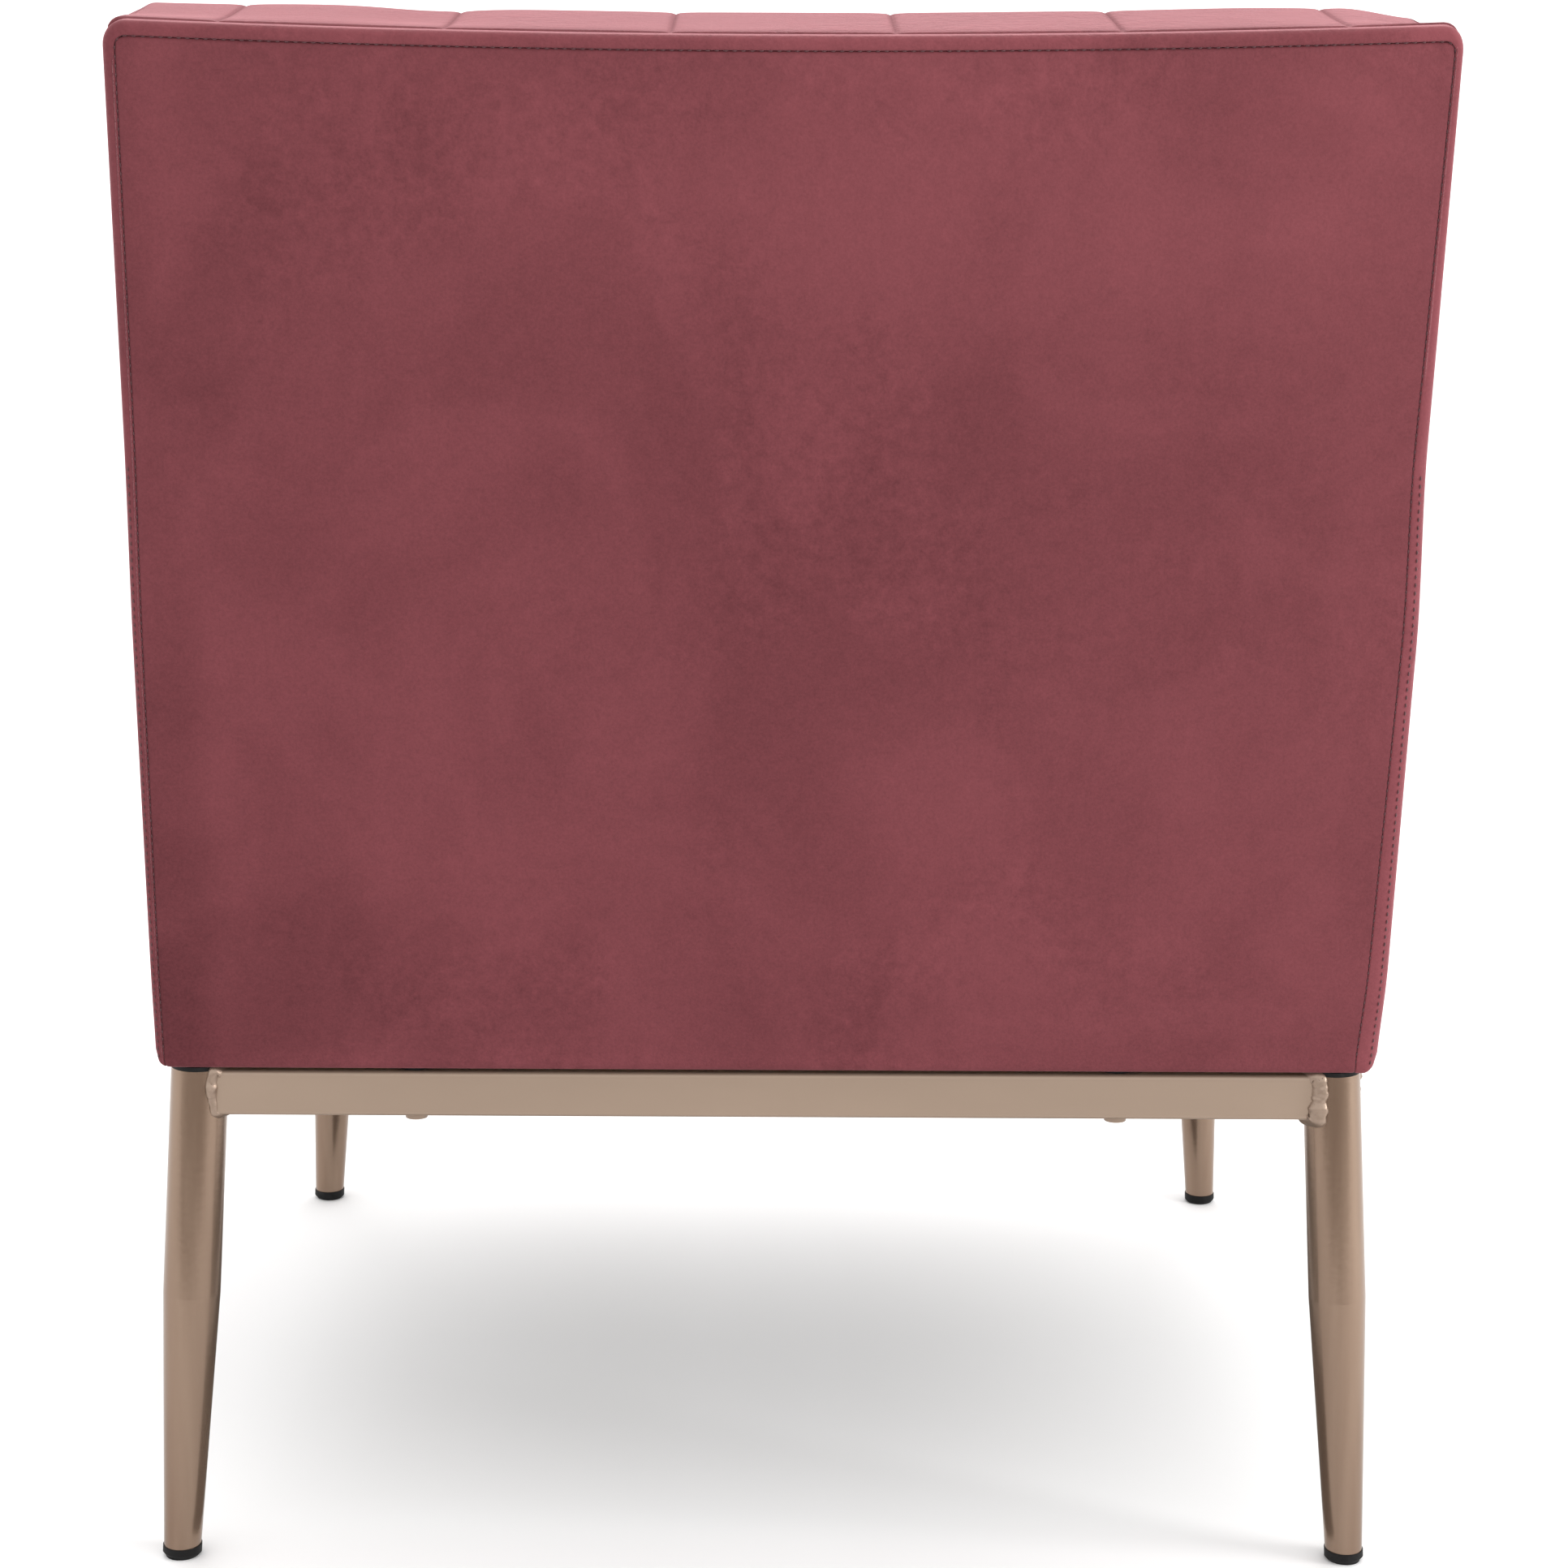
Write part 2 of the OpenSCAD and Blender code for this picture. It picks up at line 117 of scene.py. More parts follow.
def ease(value, low, high):
    """0 below low and 1 above high, with a smooth cubic between them."""
    share = np.clip((value - low) / (high - low), 0, 1)
    return share * share * (3 - 2 * share)


def grid_quads(number):
    """Quads over an open grid of point numbers."""
    quads = np.stack([number[:-1, :-1], number[1:, :-1], number[1:, 1:], number[:-1, 1:]], -1)
    return quads.reshape(-1, 4)


def ring_quads(number):
    """Quads between rings of point numbers, one ring a row, as a list."""
    after = np.roll(number, -1, 1)
    return np.stack([number[:-1], after[:-1], after[1:], number[1:]], -1).reshape(-1, 4).tolist()


def gathered(shapes):
    """Several shapes, each (points, faces), as one array of points and one list of faces."""
    points, faces, count = [], [], 0
    for shape, its_faces in shapes:
        points.append(shape)
        faces += [[v + count for v in f] for f in its_faces]
        count += len(shape)
    return np.concatenate(points), faces


def box_grid(cells):
    """The skin of a box as grid numbers (i, j, k) and outward quads: each face is a grid of
    cells, and the points that faces share are merged."""
    corners, quads, start = [], [], 0
    for axis in range(3):
        b, c = (axis + 1) % 3, (axis + 2) % 3
        i, j = np.meshgrid(np.arange(cells[b] + 1), np.arange(cells[c] + 1), indexing="ij")
        for end in (0, cells[axis]):
            place = np.zeros(i.shape + (3,), int)
            place[..., axis], place[..., b], place[..., c] = end, i, j
            number = start + np.arange(i.size).reshape(i.shape)
            quad = grid_quads(number)
            quads.append(quad if end else quad[:, ::-1])
            corners.append(place.reshape(-1, 3))
            start += i.size
    corners = np.concatenate(corners)
    unique, inverse = np.unique(corners, axis=0, return_inverse=True)
    return unique, inverse.reshape(-1)[np.concatenate(quads)]


def ruled(low, high, radius, inner, corner):
    """Grid lines from low to high: inner even steps, with corner steps across the radius at
    each end whose spacing grows as a tangent, so that they are even around a quarter circle."""
    bend = radius * np.tan(np.linspace(0, math.pi / 4, corner + 1))
    middle = np.linspace(low + radius, high - radius, inner + 1)
    return np.concatenate([low + radius - bend[:0:-1], middle, high - radius + bend[1:]])


def round_box(low, high, radius, inner, corner):
    """A box with rounded edges: each point of the plain box is drawn in to the distance
    radius from the inner box. inner is the number of cells along each flat side, and corner
    that along an edge's arc. Returns the points, the outward directions and the quads."""
    low, high, radius = (np.asarray(v, float) for v in (low, high, radius))
    lines = [ruled(low[a], high[a], radius[a], inner[a], corner) for a in range(3)]
    grid, quads = box_grid([len(line) - 1 for line in lines])
    flat = np.stack([lines[a][grid[:, a]] for a in range(3)], -1)
    core = np.clip(flat, low + radius, high - radius)
    away = (flat - core) / radius
    away /= np.linalg.norm(away, axis=1, keepdims=True)
    return core + away * radius, away, quads


def swept(path_points, closed):
    """Quads between copies of a closed section placed along a path. path_points has one row
    of section points for each step. An open path gets a fan over each end."""
    steps, around = path_points.shape[:2]
    number = np.arange(steps * around).reshape(steps, around)
    ahead = np.roll(number, -1, axis=0) if closed else number[1:]
    here = number if closed else number[:-1]
    quads = np.stack([here, ahead, np.roll(ahead, -1, 1), np.roll(here, -1, 1)], -1).reshape(-1, 4)
    points = path_points.reshape(-1, 3)
    faces = quads.tolist()
    if not closed:
        points = np.vstack([points, path_points[0].mean(0), path_points[-1].mean(0)])
        ends = ((number[0], number.size, 1), (number[-1], number.size + 1, -1))
        for row, centre, turn in ends:
            for a, b in zip(row, np.roll(row, -1)):
                faces.append([centre, a, b][::turn])
    return points, faces


def outward(thing):
    """Turns a closed piece's faces to point out."""
    work = bmesh.new()
    work.from_mesh(thing.data)
    bmesh.ops.recalc_face_normals(work, faces=work.faces)
    work.to_mesh(thing.data)
    work.free()
    return thing


# ---- Shader maths -------------------------------------------------------------


class Value:
    """A socket of a material. Arithmetic on numbers adds Math nodes."""

    def __init__(self, shader, socket):
        self.shader = shader
        self.socket = socket

    def maths(self, operation, first, second):
        return self.shader.add("Math", {"operation": operation}, {0: first, 1: second})

    def __add__(self, other):
        return self.maths("ADD", self, other)

    def __radd__(self, other):
        return self.maths("ADD", other, self)

    def __sub__(self, other):
        return self.maths("SUBTRACT", self, other)

    def __rsub__(self, other):
        return self.maths("SUBTRACT", other, self)

    def __mul__(self, other):
        return self.maths("MULTIPLY", self, other)

    def __rmul__(self, other):
        return self.maths("MULTIPLY", other, self)

    def clamp(self):
        """Held between 0 and 1."""
        return self.shader.add("Clamp", {}, {"Value": self})


class Shader:
    """A new material whose nodes are made by add(), from a type, settings and sockets."""

    def __init__(self, name):
        self.material = bpy.data.materials.new(name)
        self.material.use_nodes = True
        self.nodes = self.material.node_tree.nodes
        self.links = self.material.node_tree.links
        self.nodes.clear()

    def add(self, kind, settings, sockets, out=0):
        node = self.nodes.new("ShaderNode" + kind)
        for key, value in settings.items():
            setattr(node, key, value)
        for key, value in sockets.items():
            if isinstance(value, Value):
                self.links.new(value.socket, node.inputs[key])
            else:
                node.inputs[key].default_value = value
        return Value(self, node.outputs[out]) if node.outputs else None

    def place(self, scale=(1, 1, 1)):
        """Object coordinates in metres, scaled."""
        where = self.add("TexCoord", {}, {}, "Object")
        return self.add("Mapping", {}, {"Vector": where, "Scale": scale})

    def noise(self, where, scale, detail=2.0, rough=0.5, distortion=0.0):
        """Noise from 0 to 1, with scale features a metre."""
        sockets = {"Vector": where, "Scale": scale, "Detail": detail, "Roughness": rough}
        return self.add("TexNoise", {}, sockets | {"Distortion": distortion})

    def wave(self, where, scale, distortion):
        """Bands along X from 0 to 1, with scale bands a metre."""
        settings = {"wave_type": "BANDS", "bands_direction": "X", "wave_profile": "SIN"}
        sockets = {"Vector": where, "Scale": scale / WAVE_BANDS, "Distortion": distortion}
        return self.add("TexWave", settings, sockets | {"Detail": 2.0, "Detail Scale": 1.0}, 1)

    def between(self, value, low, high):
        """0 below low and 1 above high, with a smooth cubic between them."""
        sockets = {"Value": value, "From Min": low, "From Max": high}
        return self.add("MapRange", {"interpolation_type": "SMOOTHSTEP"}, sockets)

    def blend(self, share, first, second):
        """A colour between two, share of the way to the second."""
        first, second = (c if isinstance(c, Value) else (*c, 1) for c in (first, second))
        return self.add("Mix", {"data_type": "RGBA"}, {0: share, 6: first, 7: second}, 2)

    def bump(self, height, distance, normal=None):
        """A bump normal from a height from 0 to 1 that stands for distance metres."""
        sockets = {"Height": height, "Distance": distance, "Strength": 1.0}
        return self.add("Bump", {}, sockets | ({"Normal": normal} if normal else {}))

    def finish(self, fixed, colour, rough, relief=None):
        """Ends the material in one Principled surface, with fixed numbers for some sockets."""
        varied = {"Base Color": colour, "Roughness": rough}
        if relief:
            varied["Normal"] = relief
        surface = self.add("BsdfPrincipled", {}, {**fixed, **varied})
        self.add("OutputMaterial", {}, {"Surface": surface})
        return self.material


# A wave texture has this many bands in a unit at a scale of 1
WAVE_BANDS = 20 / (2 * math.pi)


def srgb(red, green, blue):
    """A colour given as the 0 to 255 values of a screen, made linear."""
    level = np.array([red, green, blue]) / 255
    return tuple(np.where(level <= 0.04045, level / 12.92, ((level + 0.055) / 1.055) ** 2.4).tolist())


# ---- Finishes -----------------------------------------------------------------

ROSE_DARK = srgb(76, 32, 37)
ROSE_LIGHT = srgb(127, 66, 72)

# Marks in the pile of the outside back: where across, where up the slope, half width, half height,
# turn in degrees, how much darker, and how softly it ends. The darker marks make it darker towards the
# sitter's left (+X), most at its foot there, with a few small dark patches elsewhere; the lighter
# marks along the top and on the sitter's right (-X) are painted light, where the light from above and
# from the right falls
MARKS = (
    (0.262, 0.050, 0.105, 0.046, -14, 0.15, 0.5),
    (0.318, 0.110, 0.026, 0.190, 2, 0.16, 0.8),
    (0.276, 0.400, 0.022, 0.080, 18, 0.12, 0.9),
    (0.240, 0.290, 0.042, 0.040, 30, 0.07, 0.9),
    (0.322, 0.440, 0.020, 0.120, 0, 0.10, 0.9),
    (0.010, 0.270, 0.135, 0.180, 0, 0.05, 0.9),
    (-0.030, 0.036, 0.048, 0.024, 0, 0.06, 0.8),
    (0.025, 0.510, 0.060, 0.030, 0, 0.05, 0.9),
    (0.190, 0.500, 0.040, 0.020, 20, 0.05, 0.9),
    (-0.255, 0.270, 0.026, 0.120, 4, 0.05, 0.9),
    (-0.235, 0.490, 0.045, 0.028, 0, 0.05, 0.9),
    # Painted light: the lighter marks on the sitter's right (-X) and the broad one along the top
    (-0.150, 0.120, 0.115, 0.110, 20, -0.06, 0.9),
    (-0.120, 0.490, 0.260, 0.080, 0, -0.14, 0.9),
    (-0.300, 0.300, 0.060, 0.300, 0, -0.06, 0.9),
    (0.120, 0.190, 0.060, 0.100, 0, -0.04, 0.9),
)

# The same for the strip: painted light, paler along its top and up the sitter's right side (-X),
# where the light from above and from the right falls
STRIP_PAINTED_LIGHT = (
    (-0.330, 0.250, 0.030, 0.420, 0, -0.34, 0.6),
    (0.000, 0.575, 0.450, 0.040, 0, -0.30, 0.6),
)


def velvet(name, marks=()):
    """Short pile velvet: broad patches where the pile lies another way, long soft strokes,
    flecks and the pile's own grain, with a pale sheen at the edges."""
    made = Shader(name)
    where = made.place()
    patches = made.noise(where, 8, 4, 0.55, 1.4)
    strokes = made.noise(made.place((24, 24, 7)), 1, 3, 0.55)
    flecks = made.noise(where, 150, 3, 0.65)
    pile = made.noise(where, 620, 3, 0.75)
    shade = 0.44 + 0.11 * made.between(patches, 0.38, 0.62) + 0.20 * (strokes - 0.5)
    combed = made.between(made.noise(where, 5, 3, 0.6), 0.50, 0.62)
    shade = shade + (0.25 + 0.35 * combed) * (flecks - 0.5) + 0.55 * (pile - 0.5)
    axes = made.add("SeparateXYZ", {}, {0: where})
    across = Value(made, axes.socket.node.outputs[0])
    height = Value(made, axes.socket.node.outputs[2])
    ragged = 1.8 * (made.noise(where, 15, 4, 0.6, 0.8) - 0.5)
    # Each mark darkens or lightens an ellipse; the back's lighter marks along its top and right side,
    # and all of the strip's, are painted light
    for x, s, half_w, half_h, turn, darker, soft in marks:
        c, d = math.cos(math.radians(turn)), math.sin(math.radians(turn))
        z = UNDER + s * math.cos(LEAN)
        u = (across - x) * (c / half_w) + (height - z) * (d / half_w)
        v = (height - z) * (c / half_h) - (across - x) * (d / half_h)
        reach = u * u + v * v + ragged
        shade = shade - darker * (1 - made.between(reach, 1 - soft, 1 + soft))
    colour = made.blend(shade.clamp(), ROSE_DARK, ROSE_LIGHT)
    relief = made.bump(pile, 0.25 * MM, made.bump(flecks * (0.5 + combed), 0.5 * MM))
    rough = 0.82 + 0.16 * (flecks - 0.5)
    fixed = {
        "Sheen Weight": 0.55, "Sheen Roughness": 0.32, "Sheen Tint": (*srgb(246, 178, 184), 1),
        "Specular IOR Level": 0.18,
    }
    return made.finish(fixed, colour, rough, relief)


def bronze(name, scale, dark, light, metal, rough):
    """Champagne lacquer on steel: soft clouds drawn out along the tube, and fine orange peel."""
    made = Shader(name)
    clouds = made.noise(made.place(scale), 1, 3, 0.55)
    specks = made.noise(made.place(), 900, 2, 0.6)
    peel = made.noise(made.place(), 260, 2)
    share = (0.5 + 1.2 * (clouds - 0.5) + 0.2 * (specks - 0.5)).clamp()
    colour = made.blend(share, dark, light)
    rough = rough + 0.14 * (clouds - 0.5)
    relief = made.bump(peel, 0.05 * MM)
    return made.finish({"Metallic": metal, "Specular IOR Level": 0.5}, colour, rough, relief)


def weld_finish():
    """The same lacquer over rough weld metal, duller and pitted, with painted shade in the pits:
    darker brown where the bump is low.
    """
    made = Shader("weld_lacquer")
    pits = made.noise(made.place(), 420, 3, 0.7)
    clouds = made.noise(made.place(), 90, 2)
    # Painted shade: the colour goes dark brown where the pits' bump is low
    dark = made.between(pits, 0.26, 0.36)
    colour = made.blend(dark, srgb(84, 64, 53), srgb(150, 131, 116))
    rough = 0.34 + 0.2 * (clouds - 0.5)
    return made.finish({"Metallic": 0.7}, colour, rough, made.bump(pits, 0.25 * MM))


def moulded(name, colour, rough, grain):
    """Moulded plastic or rubber: a fine grain and faint cloudiness. grain is features a metre."""
    made = Shader(name)
    fine = made.noise(made.place(), grain, 2, 0.6)
    scuffs = made.noise(made.place(), 120, 4, 0.6, 0.4)
    shade = made.blend(made.between(scuffs, 0.5, 0.8), colour, tuple(0.01 + 1.6 * c for c in colour))
    rough = rough + 0.2 * (scuffs - 0.5)
    return made.finish({"Specular IOR Level": 0.22}, shade, rough, made.bump(fine, 0.08 * MM))


def wood(name, along):
    """Planed softwood: growth bands stretched along the board, with fine pores."""
    made = Shader(name)
    stretch = tuple(2.5 if a == along else 38 for a in range(3))
    bands = made.noise(made.place(stretch), 1, 3, 0.5, 1.4)
    pores = made.noise(made.place(tuple(60 if a == along else 900 for a in range(3))), 1, 2)
    share = (0.1 + 0.9 * made.between(bands, 0.38, 0.62) + 0.4 * (pores - 0.5)).clamp()
    colour = made.blend(share, srgb(226, 198, 150), srgb(190, 148, 96))
    return made.finish({}, colour, 0.62 + 0.2 * (pores - 0.5), made.bump(pores, 0.1 * MM))


def zinc():
    """Zinc plate: pale grey with a faint spangle."""
    made = Shader("zinc")
    spangle = made.noise(made.place(), 220, 2, 0.6)
    colour = made.blend(spangle, srgb(150, 152, 156), srgb(206, 208, 212))
    rough = 0.28 + 0.2 * (spangle - 0.5)
    return made.finish({"Metallic": 0.95}, colour, rough, made.bump(spangle, 0.03 * MM))


def fibres(name, dark, light, scale):
    """Felt or lining: tangled fibres, drawn as stretched noise in two directions."""
    made = Shader(name)
    one = made.noise(made.place((scale, scale / 6, scale)), 1, 3, 0.65, 0.6)
    other = made.noise(made.place((scale / 6, scale, scale)), 1, 3, 0.65, 0.6)
    share = (0.5 + 1.1 * (one - 0.5) + 1.1 * (other - 0.5)).clamp()
    colour = made.blend(share, dark, light)
    fixed = {"Sheen Weight": 0.15, "Specular IOR Level": 0.2}
    return made.finish(fixed, colour, 0.9 + 0.1 * (one - 0.5), made.bump(share, 0.3 * MM))


def strap_weave():
    """Woven elastic: ribs across the strap with a paler thread along it."""
    made = Shader("strap_weave")
    ribs = made.wave(made.place(), 400, 0.4)
    turned = made.add("Mapping", {}, {"Vector": made.place(), "Rotation": (0, math.pi / 2, 0)})
    rows = made.wave(turned, 280, 0.4)
    share = (0.25 + 0.4 * ribs + 0.35 * rows).clamp()
    colour = made.blend(share, srgb(40, 38, 36), srgb(112, 106, 100))
    return made.finish({}, colour, 0.8 + 0.1 * (ribs - 0.5), made.bump(share, 0.4 * MM))


def sewing_thread():
    """Dark wine sewing thread, a little shiny."""
    made = Shader("sewing_thread")
    twist = made.noise(made.place(), 1400, 2)
    colour = made.blend(twist, srgb(58, 24, 29), srgb(92, 44, 50))
    return made.finish({"Sheen Weight": 0.1}, colour, 0.55 + 0.2 * (twist - 0.5))


# The outside back's velvet has pile marks and painted light; the strip's velvet has painted light only
BACK_VELVET = velvet("brushed_velvet", MARKS)
PAINTED_LIGHT_STRIP_VELVET = velvet("strip_velvet", STRIP_PAINTED_LIGHT)
VELVET = velvet("velvet")
TUBE = (srgb(122, 100, 85), srgb(151, 130, 113), 0.85, 0.24)
RAIL_COAT = (srgb(145, 126, 110), srgb(156, 136, 119), 0.35, 0.42)
LEG_BRONZE = bronze("leg_lacquer", (90, 90, 3), *TUBE)
CROSS_BRONZE = bronze("cross_rail_lacquer", (5, 30, 18), *RAIL_COAT)
SIDE_BRONZE = bronze("side_rail_lacquer", (30, 5, 18), *RAIL_COAT)
THREAD = sewing_thread()


def dress_frame():
    """Gives every node that stays its finish."""
    black = moulded("black_plastic", srgb(11, 10, 10), 0.62, 1500)
    rubber = moulded("rubber", srgb(26, 26, 26), 0.75, 800)
    steel = zinc()
    boards = [wood("board_" + "xyz"[a], a) for a in range(3)]
    finishes = {
        "leg_plug": black, "foot_tip": black, "leg_": LEG_BRONZE,
        "base_rail_front": CROSS_BRONZE, "base_rail_rear": CROSS_BRONZE, "base_rail": SIDE_BRONZE,
        "weld_beads": LEG_BRONZE, "rail_pads": rubber,
        "frame_bolts": CROSS_BRONZE, "insert_nuts": steel,
        "seat_rail_front": boards[0], "seat_rail_rear": boards[0], "seat_rail": boards[1],
        "corner_blocks": boards[0], "back_rail": boards[0], "back_post": boards[2],
        "arm_post": boards[2], "arm_rail": boards[1], "seat_springs": steel, "spring_clips": steel,
        "seat_felt": fibres("felt", srgb(120, 118, 114), srgb(176, 173, 168), 420),
        "back_webbing": strap_weave(),
    }
    for name, node in frame["nodes"].items():
        finish = next((f for start, f in finishes.items() if name.startswith(start)), VELVET)
        node.data.materials.clear()
        node.data.materials.append(finish)


dress_frame()


# ---- The leaning back -----------------------------------------------------------

# How the sewn chair differs from its drawing: its top corners stand higher than the middle, the
# right one a little more than the left, and the body leans to the sitter's right
CORNER_RISE = 6.4 * MM
RIGHT_RISE = 0.7 * MM
SIDE_LEAN = 5.4 * MM
BODY_TOP = edge_high.z

# The strip beside the outside back, from its seam to its outer edge, at the bottom and the top
STRIP_LEFT = (4.6 * MM, 6.6 * MM)
STRIP_RIGHT = (12.5 * MM, 4.2 * MM)
STRIP_TOP = 7.0 * MM
SEAM_GAP = 0.12 * MM
SEAM_CORNER = 5.5 * MM
FOOT_CORNER = 9 * MM
BOTTOM_ROLL = 2.6 * MM

# How far the velvet hangs below the timber, and how full it is there
HEM = 0.9 * MM
HEM_FULL = 0.9 * MM

# How much fuller the sides are stuffed, below the arm's top
RIGHT_FULL = 3.6 * MM
LEFT_FULL = 1.0 * MM


def leaned(points):
    """Points with the body's lean to the right, nothing at the underside and all of it at the
    top, and its sides fuller between the underside and the arm's top."""
    points = np.array(points, float)
    x, z = points[..., 0], points[..., 2]
    full = ease(ARM_TOP + 20 * MM - z, 0, 110 * MM)
    full = full * (0.45 + 0.55 * ease(z, UNDER, UNDER + 60 * MM))
    full = full * ease(np.abs(x), HALF_W - 60 * MM, HALF_W - 8 * MM)
    fuller = np.where(x < 0, -RIGHT_FULL, LEFT_FULL) * full
    points[..., 0] = x + fuller - SIDE_LEAN * (z - UNDER) / (BODY_TOP - UNDER)
    return points


def settled(x, t, s):
    """World points of the back with its bottom corners turned, its hem let down, and the rise
    of its top edge to the corners, which grows with the square of the height."""
    x, t, s = np.broadcast_arrays(x, t, s)
    out, down = quarter_turned(np.abs(x) - (HALF_W - FOOT_CORNER), FOOT_CORNER - s, FOOT_CORNER)
    x, s = np.sign(x) * (out + HALF_W - FOOT_CORNER), FOOT_CORNER - down
    up = np.clip(s / BACK_LEN, 0, None)
    across = x / HALF_W
    rise = CORNER_RISE * across ** 2 - RIGHT_RISE * across
    hem = HEM * (1 - ease(s, 0, 30 * MM))
    return leaned(on_back(x, t, s + rise * up ** 2 - hem))


def strip_width(side, s):
    """Width of the strip at slope s on the sitter's left (side 1) or right (side -1)."""
    low, high = STRIP_LEFT if side > 0 else STRIP_RIGHT
    return low + (high - low) * np.clip(s / BACK_LEN, 0, 1)


def between_seams(x, s, half):
    """x measured on a panel of even half width, moved to lie between the two side seams."""
    left = HALF_W - strip_width(1, s)
    right = HALF_W - strip_width(-1, s)
    return (left - right) / 2 + x / half * (left + right) / 2


def quarter_turned(a, b, radius):
    """Two coordinates measured from the inside corner of a square of side radius. Points in the
    square move on to a quarter disc, by (u, v) to (u sqrt(1 - v v / 2), v sqrt(1 - u u / 2))."""
    u, v = np.clip(a / radius, 0, 1), np.clip(b / radius, 0, 1)
    inside = (a > 0) & (b > 0)
    return (
        np.where(inside, radius * u * np.sqrt(1 - v * v / 2), a),
        np.where(inside, radius * v * np.sqrt(1 - u * u / 2), b),
    )


def rolled_under(t, s):
    """Depth t with the bottom edge turned under: the rear face follows a quarter circle of
    radius BOTTOM_ROLL, below a small roll of fullness."""
    rise = np.clip(1 - s / BOTTOM_ROLL, 0, 1)
    arc = BOTTOM_ROLL * (1 - np.sqrt(1 - 0.98 * rise * rise))
    full = HEM_FULL * np.exp(-((s - 4 * MM) / (4 * MM)) ** 2)
    return t + (arc - full) * np.clip(1 - t / (SKIN - 0.6 * MM), 0, 1)


def back_panel():
    """The outside back: a rounded slab in back coordinates, with its rows closer together
    near the bottom. Its rear face swells by a little, as (1 - u^4)(1 - v^4), its lower edge
    rolls under, and its corners are quarter discs."""
    half, top = HALF_W - 8 * MM, BACK_LEN - STRIP_TOP - SEAM_GAP
    thick = SKIN - 0.6 * MM
    points, away, quads = round_box(
        (-half, 0, 0), (half, thick, top), (1.3 * MM, 1.6 * MM, 1.6 * MM), (190, 1, 200), 4,
    )
    x, t, s = points.T
    s = s * (0.5 + 0.5 * s / top)
    out, up = quarter_turned(np.abs(x) - (half - SEAM_CORNER), s - (top - SEAM_CORNER), SEAM_CORNER)
    x, s = np.sign(x) * (out + half - SEAM_CORNER), up + top - SEAM_CORNER
    u, v = x / half, 2 * s / top - 1
    swell = 2.4 * MM * (1 - u ** 4) * (1 - v ** 4)
    ripple = 0.3 * MM * np.sin(u * 7 + 2 * v) * np.sin(v * 5 - u) * (1 - u ** 6) * (1 - v ** 6)
    t = rolled_under(t - (swell + ripple) * np.clip(-away[:, 1], 0, 1), s)
    x = between_seams(x, s, half)
    panel = piece("back_panel", settled(x, t, s), quads, BACK_VELVET, "velvet")
    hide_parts("outside_back")


def seam_line(steps=70, turn=10):
    """The seam of the outside back as x, s and its outward direction: up the right side,
    round the top corners by arcs, and down the left side."""
    top = BACK_LEN - STRIP_TOP
    bottom = BOTTOM_ROLL * np.linspace(0, 1, 7)[:-1]
    rise = np.r_[bottom, np.linspace(BOTTOM_ROLL, top - SEAM_CORNER, steps)]
    angle = np.linspace(0, math.pi / 2, turn)
    bow, lift = SEAM_CORNER * np.cos(angle), SEAM_CORNER * np.sin(angle)
    right, left = HALF_W - strip_width(-1, rise), HALF_W - strip_width(1, rise)
    end_right, end_left = right[-1] - SEAM_CORNER, left[-1] - SEAM_CORNER
    level = np.linspace(-end_right, end_left, 2 * steps)[1:-1]
    x = np.r_[-right, (-end_right - bow)[1:], level, (end_left + bow[::-1])[:-1], left[::-1]]
    s = top - SEAM_CORNER + np.r_[
        rise - (top - SEAM_CORNER), lift[1:], np.full(level.size, SEAM_CORNER), lift[::-1][:-1],
        rise[::-1] - (top - SEAM_CORNER)]
    along = np.stack([np.gradient(x), np.gradient(s)], -1)
    along /= np.linalg.norm(along, axis=1, keepdims=True)
    return x, s, -along[:, 1], along[:, 0]


def strip_reach(x, s, out_x, out_s):
    """Width of the strip at points of the seam line: the side widths, turning into the width
    at the top in proportion to how far the outward direction points up."""
    side = np.where(x > 0, 1, -1)
    width = np.where(side > 0, strip_width(1, s), strip_width(-1, s))
    up = np.clip(out_s, 0, 1) ** 2
    return width * (1 - up) + STRIP_TOP * up


def strip_section(width, up):
    """The strip's section at each point of its path, as distances outward and forward: four
    corner arcs, small at the seam, larger at the outer rear edge, with the rear face a little
    full. up is 1 along the top."""
    thick = BORDER_T - 0.4 * MM
    outer = np.clip(width * 0.85, 2.4 * MM, 8.0 * MM) * (1 - up) + 2.6 * MM * up
    rows_n, rows_t = [], []
    corners = (
        (SEAM_GAP, 0, 0.9 * MM, 180, 1), (width, 0, outer, 270, -1),
        (width, thick, 0.6 * MM, 0, -1), (SEAM_GAP, thick, 0.6 * MM, 90, 1),
    )
    for n, t, radius, start, inward in corners:
        angle = np.radians(np.linspace(start, start + 90, 8))[None, :]
        radius = np.broadcast_to(radius, width.shape)[:, None]
        n = np.broadcast_to(n, width.shape)[:, None]
        rows_n.append(n + inward * radius + radius * np.cos(angle))
        rows_t.append(t + (radius if t == 0 else -radius) + radius * np.sin(angle))
    n = np.concatenate(rows_n, 1)
    t = np.concatenate(rows_t, 1)
    full = np.sin(math.pi * np.clip(n / width[:, None], 0, 1)) * (t < thick / 2)
    return n, t - (0.9 * MM * up[:, None] + 0.4 * MM) * full


